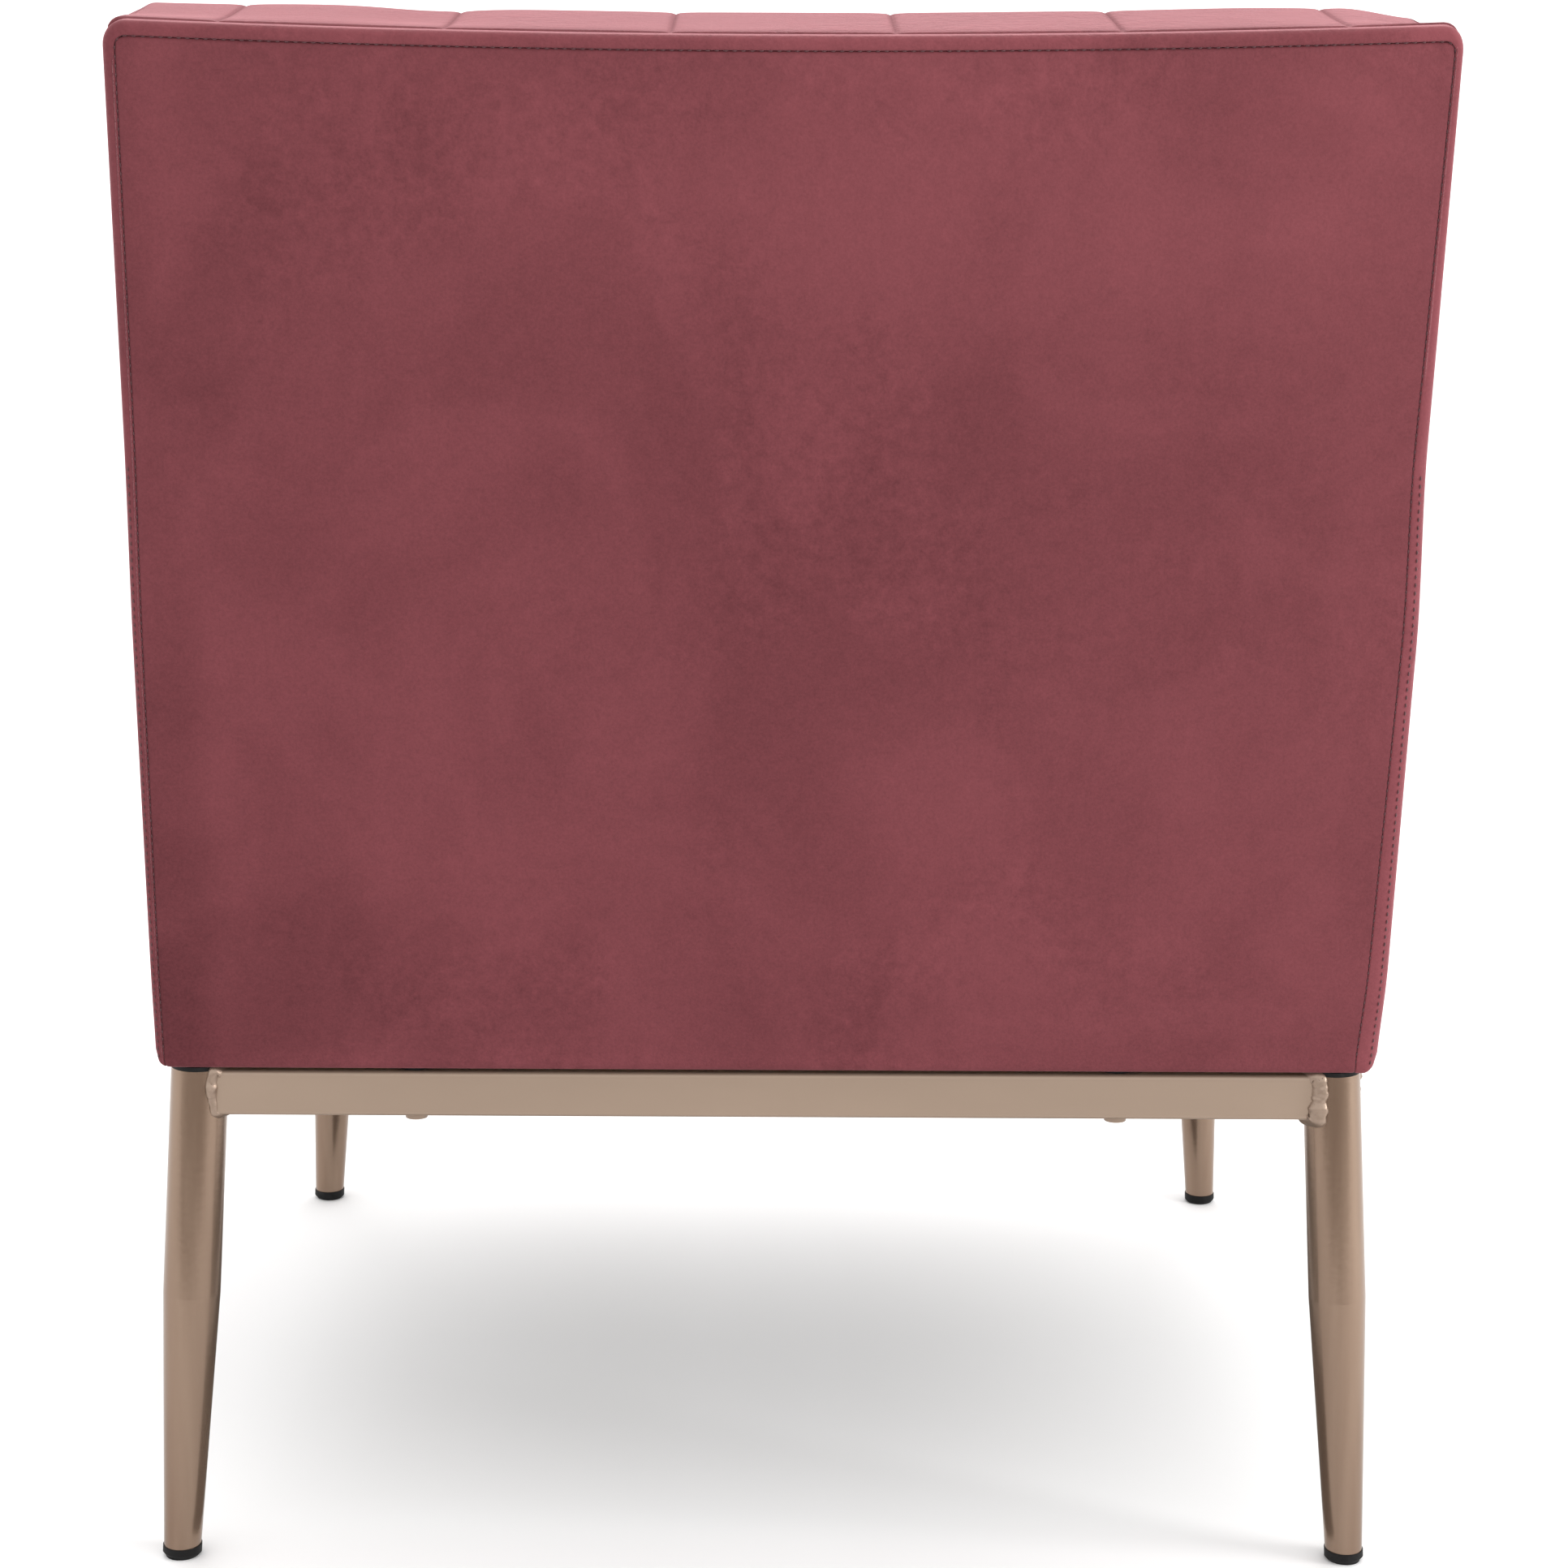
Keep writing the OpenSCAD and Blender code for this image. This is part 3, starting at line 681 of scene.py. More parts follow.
def back_edge_strip():
    """The strip that wraps the edge of the outside back, carried along the seam line."""
    x, s, out_x, out_s = seam_line()
    width = strip_reach(x, s, out_x, out_s)
    n, t = strip_section(width, np.clip(out_s, 0, 1) ** 2)
    t = rolled_under(t, s[:, None])
    lines = settled(x[:, None] + n * out_x[:, None], t, s[:, None] + n * out_s[:, None])
    points, faces = swept(lines, False)
    # The strip's velvet is painted lighter along its top and up the sitter's right side: painted light
    strip = outward(piece("back_edge_strip", points, faces, PAINTED_LIGHT_STRIP_VELVET, "velvet"))
    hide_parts("back_border_left", "back_border_right", "back_border_top")


# ---- The tufted inside back -------------------------------------------------------

TUFT_DEPTH = 21 * MM
TUFT_REACH = 46 * MM
PIT = 28 * MM
PIT_RADIUS = 18 * MM

# The crest stands this far above the strip, and dips at one place on the left
CREST = 0.3 * MM
CREST_DIP_X = 178 * MM
CREST_DIP_WIDTH = 28 * MM

TOP_CORNER = 8.5 * MM
BUTTON_R = 11 * MM
BUTTON_T = BACK_T - 26 * MM


def row_places(row, beyond=0):
    """Button places of a row as x, with beyond more at each end of the same spacing."""
    count = TUFT_ROWS[row][1] + 2 * beyond
    return (np.arange(count) - (count - 1) / 2) * PITCH


def row_slope(row):
    return BACK_LEN - TUFT_ROWS[row][0]


def pleats():
    """The folds between buttons as (x, s) to (x, s) lines: the diamonds' sides, the folds from
    the top row over the crest, and those from the bottom row down to the seat."""
    lines = []
    for row in (0, 1):
        for x in row_places(row, 1 if row else 0):
            for step in (-PITCH / 2, PITCH / 2):
                lines.append((x, row_slope(row), x + step, row_slope(row + 1)))
    over = [(x, row_slope(0), x, BACK_LEN + 20 * MM) for x in row_places(0)]
    down = [(x, row_slope(2), x, 0) for x in row_places(2)]
    return lines, over, down


def fold_depth(x, s, line, least, is_open=False):
    """Depth of one fold at points: a cusp on the line, H (1 - d / reach)^2.4. A fold between two
    buttons is least deep, by the share least, in its middle. An open one runs straight up or
    down from its button, fades to least and goes on past its end."""
    x1, s1, x2, s2 = line
    if is_open:
        share = np.clip((s - s1) / (s2 - s1), 0, 1)
        away = np.hypot(x - x1, np.where((s - s1) * (s2 - s1) < 0, s - s1, 0))
        fade = ease(share, 0, 0.6)
    else:
        length = math.hypot(x2 - x1, s2 - s1)
        share = np.clip(((x - x1) * (x2 - x1) + (s - s1) * (s2 - s1)) / length ** 2, 0, 1)
        away = np.hypot(x - x1 - share * (x2 - x1), s - s1 - share * (s2 - s1))
        fade = np.sin(math.pi * share) ** 2
    return TUFT_DEPTH * (1 - (1 - least) * fade) * np.clip(1 - away / TUFT_REACH, 0, 1) ** 2.4


def tuft_depth(x, s):
    """All folds added as a sum of cubes, so that the pads between them are crowned and smooth,
    and round pits at the buttons with a few short wrinkles running out of them."""
    sides, over, down = pleats()
    cubes = sum(fold_depth(x, s, line, 0.55) ** 3 for line in sides)
    cubes += sum(fold_depth(x, s, line, 0.13, True) ** 3 for line in over)
    cubes += sum(fold_depth(x, s, line, 0.45, True) ** 3 for line in down)
    pits, wrinkles = 0, 0
    for row in range(len(TUFT_ROWS)):
        for place in row_places(row):
            dx, ds = x - place, s - row_slope(row)
            r = np.hypot(dx, ds)
            pits = np.maximum(pits, PIT * np.exp(-(r / PIT_RADIUS) ** 4))
            ring = np.exp(-((r - 24 * MM) / (11 * MM)) ** 2)
            wrinkles = wrinkles + 0.7 * MM * ring * np.cos(9 * np.arctan2(ds, dx) + 40 * place)
    return (cubes + pits ** 3) ** (1 / 3) + wrinkles


def crest_depth(x, t):
    """Depth of the folds where they run over the crest: narrow all the way, and a little wider
    towards the front."""
    away = np.min([np.abs(x - place) for place in row_places(0)], axis=0)
    front = ease(t, 40 * MM, BACK_T)
    narrow = 0.8 * MM * np.exp(-away / (1.1 * MM))
    return narrow + 0.35 * MM * front * np.clip(1 - away / (14 * MM), 0, 1) ** 2


def drawn_in(x, z):
    """x of the inside back at height z: as it is above the arms; below, the outer part of its
    width is pressed together to end between them, and the middle is left alone."""
    core, neck = ARM_X - 40 * MM, ARM_X - 1.5 * MM
    tight = (neck - core) / (HALF_W - core)
    keep = tight + (1 - tight) * ease(z, ARM_TOP - 10 * MM, ARM_TOP - 2 * MM)
    out = np.abs(x)
    return np.sign(x) * (np.minimum(out, core) + keep * np.maximum(out - core, 0))


def tufted_back():
    """The inside back: a rounded slab in back coordinates, drawn in between the arms, whose
    front is pressed in by the folds and pits. Its columns stand closer together at the folds,
    and its edges beside the border strip are nearly sharp."""
    t_back = BORDER_T - 0.8 * MM
    low_s = slope_at(60 * MM, SEAT_LOW.z + 2 * MM)
    top = BACK_LEN + CREST
    half = HALF_W - 0.6 * MM
    points, away, quads = round_box(
        (-half, t_back, low_s), (half, BACK_T, top), (9 * MM, 16 * MM, 12 * MM), (236, 16, 140), 6,
    )
    x, t, s = points.T
    x = x - 0.7 * PITCH / (4 * math.pi) * np.sin(4 * math.pi * x / PITCH) * (np.abs(away[:, 0]) < 1e-6)
    full = np.abs(np.cos(math.pi * x / PITCH)) ** 0.3
    front, over, rear = (np.clip(a, 0, 1) for a in (away[:, 1], away[:, 2], -away[:, 1]))
    tight = 0.10 + 0.14 * full
    t = np.where(rear > 0, t_back + tight * (t - t_back), t)
    s = np.where((rear > 0) & (over > 0), top - tight * (top - s), s)
    x = np.where((rear > 0) & (away[:, 0] != 0), np.sign(x) * (0.85 * half + 0.15 * np.abs(x)), x)
    out, up = quarter_turned(np.abs(x) - (half - TOP_CORNER), s - (top - TOP_CORNER), TOP_CORNER)
    x, s = np.sign(x) * (out + half - TOP_CORNER), up + top - TOP_CORNER
    z = on_back(x, t, s)[:, 2]
    x = drawn_in(x, z)
    depth = tuft_depth(x, s) * front * ease(top - s, 2 * MM, 40 * MM) + crest_depth(x, t) * over
    x, t, s = x - away[:, 0] * depth * 0.5, t - away[:, 1] * depth, s - away[:, 2] * depth
    dip = 1.6 * MM * np.exp(-((x - CREST_DIP_X) / CREST_DIP_WIDTH) ** 2)
    shoulders = 2.2 * MM * ease(np.abs(x), 0.22, HALF_W)
    right_end = 6 * MM * ease(-x, HALF_W - 46 * MM, HALF_W)
    uneven = -dip - 0.3 * MM * x / HALF_W - shoulders - right_end
    s = s + over * (0.5 * MM * full + uneven * ease(t, 10 * MM, 50 * MM))
    side = np.abs(away[:, 0]) * (z > ARM_TOP + 10 * MM) * np.sin(math.pi * ease(t, t_back, BACK_T))
    x = x + np.sign(x) * side * (1.5 * MM + 4 * MM * ease(s, top - 120 * MM, top))
    back = outward(piece("tufted_back", settled(x, t, s), quads, VELVET, "velvet"))
    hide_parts("inside_back")


def covered_buttons():
    """Domed buttons covered in the same velvet, each a turned profile: a flat back, a rolled
    rim and a dome, with a faint pucker of the cover round the rim."""
    r = np.array([0, 0.55, 0.90, 0.99, 1.0, 0.97, 0.86, 0.66, 0.42, 0.2, 0]) * BUTTON_R
    h = np.array([0, 0, 0.2, 1.0, 2.2, 3.4, 5.0, 6.6, 7.7, 8.2, 8.35]) * MM
    around = 28
    angle = np.arange(around) * 2 * math.pi / around
    pucker = 1 + 0.018 * np.cos(7 * angle)[None, :] * (r[1:-1, None] > 0.9 * BUTTON_R)
    ring_x = (r[1:-1, None] * pucker * np.cos(angle)).ravel()
    ring_s = (r[1:-1, None] * pucker * np.sin(angle)).ravel()
    ring_t = np.repeat(h[1:-1], around)
    shape = np.stack([np.r_[ring_x, 0, 0], np.r_[ring_t, h[0], h[-1]], np.r_[ring_s, 0, 0]], -1)
    rings = r.size - 2
    number = np.arange(rings * around).reshape(rings, around)
    faces = ring_quads(number)
    base, tip = rings * around, rings * around + 1
    faces += [[base, b, a] for a, b in zip(number[0], np.roll(number[0], -1))]
    faces += [[tip, a, b] for a, b in zip(number[-1], np.roll(number[-1], -1))]
    buttons = []
    for row in range(len(TUFT_ROWS)):
        for place in row_places(row):
            buttons.append((settled(*(shape + (place, BUTTON_T, row_slope(row))).T), faces))
    buttons = outward(piece("covered_buttons", *gathered(buttons), VELVET, "velvet"))
    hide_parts("tuft_buttons")


# ---- Stitches and seams -----------------------------------------------------------

STITCH_STEP = 4.3 * MM
STITCH_LEN = 2.5 * MM
THREAD_R = 0.45 * MM


def evenly(path, step):
    """Places along a line of points at an even step, and the directions there."""
    path = np.asarray(path, float)
    gone = np.r_[0, np.cumsum(np.linalg.norm(np.diff(path, axis=0), axis=1))]
    marks = np.arange(step / 2, gone[-1], step)
    at = np.stack([np.interp(marks, gone, path[:, a]) for a in range(3)], -1)
    ahead = np.stack([np.interp(marks + 0.3 * step, gone, path[:, a]) for a in range(3)], -1)
    behind = np.stack([np.interp(marks - 0.3 * step, gone, path[:, a]) for a in range(3)], -1)
    along = ahead - behind
    return at, along / np.linalg.norm(along, axis=1, keepdims=True), marks / gone[-1]


def stitches(name, lines):
    """Stitches along lines. Each line is (points, outward directions). A stitch is a small
    spindle, r sin(pi u)^0.6 thick, that arches out of the cloth by its middle."""
    around, rings = 5, 5
    u = np.linspace(0.04, 0.96, rings)
    angle = np.arange(around) * 2 * math.pi / around
    thick = THREAD_R * np.sin(math.pi * u) ** 0.6
    shape = np.stack([
        np.repeat((u - 0.5) * STITCH_LEN, around),
        (thick[:, None] * np.cos(angle)).ravel(),
        (thick[:, None] * np.sin(angle) + (THREAD_R * np.sin(math.pi * u))[:, None]).ravel(),
    ], -1)
    number = np.arange(rings * around).reshape(rings, around)
    faces = ring_quads(number) + [number[0][::-1].tolist(), number[-1].tolist()]
    sewn = []
    for path, out in lines:
        at, along, share = evenly(path, STITCH_STEP)
        ends = np.linspace(0, 1, len(out))
        up = np.stack([np.interp(share, ends, np.asarray(out)[:, a]) for a in range(3)], -1)
        across = np.cross(up, along)
        across /= np.linalg.norm(across, axis=1, keepdims=True)
        up = np.cross(along, across)
        made = at[:, None] + shape[:, :1] * along[:, None] + shape[:, 1:2] * across[:, None]
        made = made + shape[:, 2:] * up[:, None]
        sewn += [(stitch, faces) for stitch in made]
    return outward(piece(name, *gathered(sewn), THREAD, "velvet"))


def surface_of(thing):
    """A search tree over a piece's surface, for laying seams on it."""
    mesh = thing.data
    return BVHTree.FromPolygons([v.co for v in mesh.vertices], [p.vertices for p in mesh.polygons])


def laid_on(tree, points):
    """Points moved to the nearest place on a surface, and the surface's directions there."""
    found = [tree.find_nearest(Vector(p)) for p in points]
    return tuple(np.array([tuple(f[part]) for f in found]) for part in (0, 1))


def back_stitches():
    """The row of stitches down in the seam of the outside back, and the top-stitched row on
    the outer curve of the strip, below the arms."""
    x, s, *_ = seam_line(200, 24)
    keep = s > 3 * MM
    seam = settled(x[keep], np.full(keep.sum(), 0.7 * MM), s[keep])
    rear = np.tile([0.0, math.cos(LEAN), -math.sin(LEAN)], (2, 1))
    lines = [(seam, rear)]
    tree = surface_of(bpy.data.objects["back_edge_strip"])
    for side, inset in ((-1, 3.0 * MM), (1, 0.7 * MM)):
        rise = np.linspace(4 * MM, slope_at(0, ARM_TOP), 120)
        path = settled(np.full(rise.size, side * (HALF_W - inset)), np.full(rise.size, -2 * MM), rise)
        lines.append(laid_on(tree, path))
    stitches("back_stitches", lines)


# ---- Arms, seat and front -----------------------------------------------------------


def rear_edge(z, t):
    """Where the depth t of the back stands at height z, as y."""
    return REAR_Y + slope_at(t, z) * math.sin(LEAN) - t * math.cos(LEAN)


def to_the_back(points, front, rear, t):
    """Points of a box between front and rear, stretched so that its rear end follows the
    leaning back at depth t."""
    points = np.array(points, float)
    share = (points[:, 1] - front) / (rear - front)
    points[:, 1] = front + share * (rear_edge(points[:, 2], t) - front)
    return points


CLOTH = {
    "quality": 6, "mass": 0.3, "tension_stiffness": 18, "compression_stiffness": 18,
    "shear_stiffness": 10, "bending_stiffness": 0.8, "use_pressure": True,
}
CLOTH_FRAMES = 20
EVENING_ROUNDS = 16


def swollen(thing, voxel, cap, held, pressure):
    """A padded piece blown up as cloth: remeshed evenly, fixed where held(points) is true,
    swollen by pressure, with no point moving further than cap, its wrinkles evened out, and
    subdivided once."""
    remesh = thing.modifiers.new("even_mesh", "REMESH")
    remesh.mode = "VOXEL"
    remesh.voxel_size = voxel
    settle(thing)
    start = corners_of(thing.data)
    fixed = held(start)
    thing.vertex_groups.new(name="held").add(np.flatnonzero(fixed).tolist(), 1.0, "REPLACE")
    cloth = thing.modifiers.new("swell", "CLOTH")
    for key, value in CLOTH.items():
        setattr(cloth.settings, key, value)
    cloth.settings.uniform_pressure_force = pressure
    cloth.settings.effector_weights.gravity = 0
    cloth.settings.vertex_group_mass = "held"
    cloth.collision_settings.use_collision = False
    scene = bpy.context.scene
    for number in range(1, CLOTH_FRAMES + 1):
        scene.frame_set(number)
    swelled = thing.evaluated_get(bpy.context.evaluated_depsgraph_get())
    moved = corners_of(swelled.to_mesh()) - start
    swelled.to_mesh_clear()
    far = np.linalg.norm(moved, axis=1, keepdims=True)
    moved *= np.minimum(1, cap / np.maximum(far, 1e-9))
    moved = evened(thing.data, moved, fixed)
    thing.modifiers.remove(cloth)
    thing.vertex_groups.clear()
    thing.data.vertices.foreach_set("co", (start + moved).astype(np.float32).ravel())
    scene.frame_set(1)
    finer = thing.modifiers.new("finer", "SUBSURF")
    finer.levels = finer.render_levels = 1
    settle(thing)
    thing.data.shade_smooth()
    return thing


def evened(mesh, moved, fixed):
    """The points' moves, averaged again and again with those of their neighbours; points that
    are fixed stay."""
    ends = np.empty(len(mesh.edges) * 2, np.int32)
    mesh.edges.foreach_get("vertices", ends)
    one, other = ends.reshape(-1, 2).T
    count = np.bincount(ends, minlength=len(moved))[:, None]
    for _ in range(EVENING_ROUNDS):
        total = np.zeros_like(moved)
        np.add.at(total, one, moved[other])
        np.add.at(total, other, moved[one])
        moved = (moved + total / count) / 2
        moved[fixed] = 0
    return moved


def corners_of(mesh):
    """A mesh's points as an array."""
    flat = np.empty(len(mesh.vertices) * 3, np.float32)
    mesh.vertices.foreach_get("co", flat)
    return flat.reshape(-1, 3).astype(float)


def settle(thing):
    """Puts the result of a piece's modifiers into its mesh."""
    bpy.context.view_layer.update()
    shape = bpy.data.meshes.new_from_object(thing.evaluated_get(bpy.context.evaluated_depsgraph_get()))
    old = thing.data
    thing.modifiers.clear()
    thing.data = shape
    shape.name = thing.name
    bpy.data.meshes.remove(old)


def slab(low, high, radius, cells, axis, amount, corner=4):
    """A rounded box with one face crowned by amount along the axis, as (1 - |u|^3)(1 - |v|^3).
    Returns the points and the quads."""
    points, away, quads = round_box(low, high, radius, cells, corner)
    low, high = np.array(low, float), np.array(high, float)
    even = (2 * points - low - high) / (high - low)
    share = np.ones(len(points))
    for other in range(3):
        if other != axis:
            share *= 1 - np.abs(np.clip(even[:, other], -1, 1)) ** 3
    points[:, axis] += amount * share * np.clip(away[:, axis] * np.sign(amount), 0, 1)
    return points, quads


def mirrored(thing, name):
    """The same piece on the other side of the chair, with its faces turned back outward."""
    points = corners_of(thing.data) * (-1, 1, 1)
    faces = [list(p.vertices)[::-1] for p in thing.data.polygons]
    return piece(name, points, faces, VELVET, "velvet")


def lean_piece(thing):
    """Leans a finished piece with the rest of the body."""
    thing.data.vertices.foreach_set("co", leaned(corners_of(thing.data)).astype(np.float32).ravel())
    thing.data.update()
    return thing


PAD_FRONT = pad_low.y
RAIL_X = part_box("arm_rail_left")[0].x
RAIL_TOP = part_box("arm_rail_left")[1].z

# The pads' rear end: its depth in the back, and its place before it is cut to the lean
PAD_REAR_T = 42 * MM
PAD_REAR_Y = 0.262


def arm_padding():
    """The arms' pads: a thick pad inside and a thin one over the rail, blown up as one."""
    inside = round_box(
        (ARM_X + 3 * MM, PAD_FRONT, SEAT_LOW.z + 3 * MM),
        (RAIL_X - 1 * MM, PAD_REAR_Y, ARM_TOP - 1.5 * MM),
        (11 * MM,) * 3, (6, 80, 34), 4,
    )
    over = round_box(
        (ARM_X + 3 * MM, PAD_FRONT, RAIL_TOP + 1.2 * MM),
        (pad_high.x - 0.5 * MM, PAD_REAR_Y, ARM_TOP - 1 * MM),
        (4.5 * MM,) * 3, (12, 80, 1), 4,
    )
    parts = [(to_the_back(p, PAD_FRONT, PAD_REAR_Y, PAD_REAR_T), q) for p, _, q in (inside, over)]
    left = piece("arm_padding_left", *gathered(parts), VELVET, "velvet")

    def held(points):
        against = (points[:, 0] > RAIL_X - 4 * MM) & (points[:, 2] < RAIL_TOP + 3 * MM)
        ends = (points[:, 1] < PAD_FRONT + 4 * MM) | (points[:, 0] > pad_high.x - 3 * MM)
        return against | ends | (points[:, 2] < SEAT_LOW.z + 8 * MM)

    swollen(left, 5 * MM, 7 * MM, held, 4.0)
    right = mirrored(left, "arm_padding_right")
    for arm, side in ((left, "left"), (right, "right")):
        lean_piece(arm)
        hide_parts("arm_pad_" + side)


def both_sides(name, points, quads):
    """The same shape at the left and, mirrored, at the right, leaned with the body."""
    left = piece(name + "_left", leaned(points), quads, VELVET, "velvet")
    across = leaned(points * (-1, 1, 1))
    right = piece(name + "_right", across, np.asarray(quads)[:, ::-1], VELVET, "velvet")
    return left, right


def arm_fronts():
    """The arms' padded fronts: rounded slabs, crowned forward."""
    low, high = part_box("arm_front_left")
    points, quads = slab(low, high, (8 * MM, 8 * MM, 9 * MM), (22, 3, 84), 1, -4 * MM)
    for arm, side in zip(both_sides("arm_front_cover", points, quads), ("left", "right")):
        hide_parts("arm_front_" + side)


def arm_panels():
    """The outside arms: thin padded panels, crowned outward, cut to the lean of the back."""
    rear = 0.3
    low = (HALF_W - SKIN, FRONT_Y, UNDER)
    high = (HALF_W, rear, ARM_TOP)
    points, quads = slab(low, high, (5 * MM, 4 * MM, 4.5 * MM), (1, 150, 84), 0, 2.2 * MM)
    points = to_the_back(points, FRONT_Y, rear, BORDER_T + 0.6 * MM)
    for arm, side in zip(both_sides("arm_panel", points, quads), ("left", "right")):
        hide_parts("outside_arm_" + side)


def seat_front():
    """The padded front under the cushion."""
    low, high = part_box("front_border")
    points, quads = slab(low, high, (4 * MM, 9 * MM, 7 * MM), (150, 3, 22), 1, -5 * MM)
    cover = piece("seat_front_cover", leaned(points), quads, VELVET, "velvet")
    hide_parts("front_border")


CORD_R = 2.4 * MM


def cushion():
    """The seat cushion: a rounded block with its top crowned, its rear cut to the inside back,
    blown up as cloth with its underside held flat."""
    low, high = np.array(SEAT_LOW), np.array(SEAT_HIGH)
    rear = 0.2
    start_low = (low[0] + 3 * MM, FRONT_Y + 4 * MM, low[2] + 0.5 * MM)
    start_high = (high[0] - 3 * MM, rear, high[2] - 9 * MM)
    rounding = (20 * MM, 22 * MM, 24 * MM)
    points, quads = slab(start_low, start_high, rounding, (60, 70, 10), 2, 9 * MM, 6)
    points = to_the_back(points, start_low[1], rear, BACK_T + 1.5 * MM)
    seat = piece("cushion", points, quads, VELVET, "velvet")

    def held(points):
        return points[:, 2] < low[2] + 6 * MM

    lean_piece(swollen(seat, 6 * MM, 12 * MM, held, 2.0))
    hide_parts("seat_cushion")
    cushion_cord(seat, start_low, start_high)


def cushion_cord(seat, low, high):
    """The covered cord sewn round the cushion under its top edge: a rounded rectangle laid on
    the cushion, with a round section CORD_R thick."""
    turn = np.linspace(0, 2 * math.pi, 400, endpoint=False)
    square = (np.abs(np.cos(turn)) ** 14 + np.abs(np.sin(turn)) ** 14) ** (-1 / 14)
    middle = (np.array(low) + high) / 2
    reach = (np.array(high) - low) / 2
    path = np.stack([
        middle[0] + reach[0] * square * np.cos(turn),
        middle[1] + reach[1] * square * np.sin(turn),
        np.full(turn.size, high[2] - 17 * MM)], -1)
    path = leaned(to_the_back(path, low[1], high[1], BACK_T + 1.5 * MM))
    path, out = laid_on(surface_of(seat), path)
    for _ in range(6):
        path = (np.roll(path, 1, 0) + 2 * path + np.roll(path, -1, 0)) / 4
        out = (np.roll(out, 1, 0) + 2 * out + np.roll(out, -1, 0)) / 4
    along = np.roll(path, -1, 0) - np.roll(path, 1, 0)
    across = np.cross(along, out)
    across /= np.linalg.norm(across, axis=1, keepdims=True)
    out /= np.linalg.norm(out, axis=1, keepdims=True)
    angle = np.arange(8) * math.pi / 4
    ring = np.cos(angle)[None, :, None] * out[:, None] + np.sin(angle)[None, :, None] * across[:, None]
    points, faces = swept(path[:, None] + CORD_R * ring, True)
    outward(piece("cushion_cord", points, faces, VELVET, "velvet"))


# ---- Base -----------------------------------------------------------------------------

LEG_INSET = 15.7 * MM
LEG_R = 15.5 * MM
LEG_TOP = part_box("leg_rear_left")[1].z
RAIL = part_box("base_rail_rear")[1].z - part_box("base_rail_rear")[0].z


def leg_line(front, side):
    """The foot and the head of a leg's axis, from its mount on the floor."""
    name = "floor_" + ("front_" if front else "rear_") + ("left" if side > 0 else "right")
    foot = np.array(next(m for m in frame["record"]["mounts"] if m["name"] == name)["pos_m"], float)
    inset = LEG_INSET if front else -LEG_INSET
    return foot, np.array((foot[0] - side * LEG_INSET, foot[1] + inset, LEG_TOP))


def weld_path(foot, head, middle, along, steps):
    """The line where a square rail that runs along X or Y meets a round leg. Each line of the
    rail's outline, u^7 + v^7 = 1 near enough, is met with the leg's cylinder."""
    turn = np.linspace(0, 2 * math.pi, steps, endpoint=False)
    square = np.maximum(np.abs(np.cos(turn)), np.abs(np.sin(turn))) ** 0.86
    u, v = RAIL / 2 * np.cos(turn) / square, RAIL / 2 * np.sin(turn) / square
    axis = (head - foot) / np.linalg.norm(head - foot)
    start = middle + u[:, None] * np.cross((0, 0, 1.0), along) + v[:, None] * np.array((0, 0, 1.0))
    gap = start - foot
    a = along - axis * (along @ axis)
    half_b = (gap - (gap @ axis)[:, None] * axis) @ a
    c = ((gap - (gap @ axis)[:, None] * axis) ** 2).sum(1) - LEG_R ** 2
    root = np.sqrt(np.clip(half_b ** 2 - (a @ a) * c, 0, None))
    return start + ((root - half_b) / (a @ a))[:, None] * along, turn


def smooth_noise(rows, columns):
    """Random values on a grid that joins up at its edges, each the mean of a few neighbours,
    brought back to a spread of 1."""
    noise = rng.standard_normal((rows, columns))
    for axis in (0, 0, 0, 1):
        noise = (np.roll(noise, 1, axis) + 2 * noise + np.roll(noise, -1, axis)) / 4
    return noise / noise.std()


def weld_seams():
    """Rough weld beads where the rails meet the legs: a lumpy flattened bead carried along the
    meeting line, its size a sum of sines with a little smooth noise."""
    beads = []
    steps, around = 132, 12
    angle = np.arange(around) * 2 * math.pi / around
    for front in (True, False):
        for side in (1, -1):
            foot, head = leg_line(front, side)
            middle = foot + (head - foot) * (LEG_TOP - RAIL / 2) / LEG_TOP
            large = 1.45 if side < 0 and not front else 1
            for along in ((-side, 0, 0), (0, 1 if front else -1, 0)):
                path, turn = weld_path(foot, head, middle, np.array(along, float), steps)
                phases = rng.uniform(0, 2 * math.pi, 6)
                shares = rng.uniform(0.4, 1, 6) / np.array((1.5, 2, 2.5, 4, 7, 12))
                waves = zip(shares, (2, 3, 5, 8, 13, 21), phases)
                lumps = sum(a * np.sin(k * turn + b) for a, k, b in waves)
                size = 2.9 * MM * large * (1 + 0.30 * lumps)
                tangent = np.roll(path, -1, 0) - np.roll(path, 1, 0)
                tangent /= np.linalg.norm(tangent, axis=1, keepdims=True)
                outer = path - middle
                outer -= (outer * tangent).sum(1)[:, None] * tangent
                outer /= np.linalg.norm(outer, axis=1, keepdims=True)
                third = np.cross(tangent, outer)
                flat, wide = 0.85 * np.cos(angle), 1.25 * np.sin(angle)
                ring = flat[None, :, None] * outer[:, None] + wide[None, :, None] * third[:, None]
                rough = 1 + 0.10 * smooth_noise(steps, around)
                thick = size[:, None, None] * rough[..., None]
                beads.append(swept(path[:, None] + thick * ring, True))
    beads = outward(piece("weld_seams", *gathered(beads), weld_finish(), "bronze"))
    finer = beads.modifiers.new("finer", "SUBSURF")
    finer.levels = finer.render_levels = 1
    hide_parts("weld_beads")


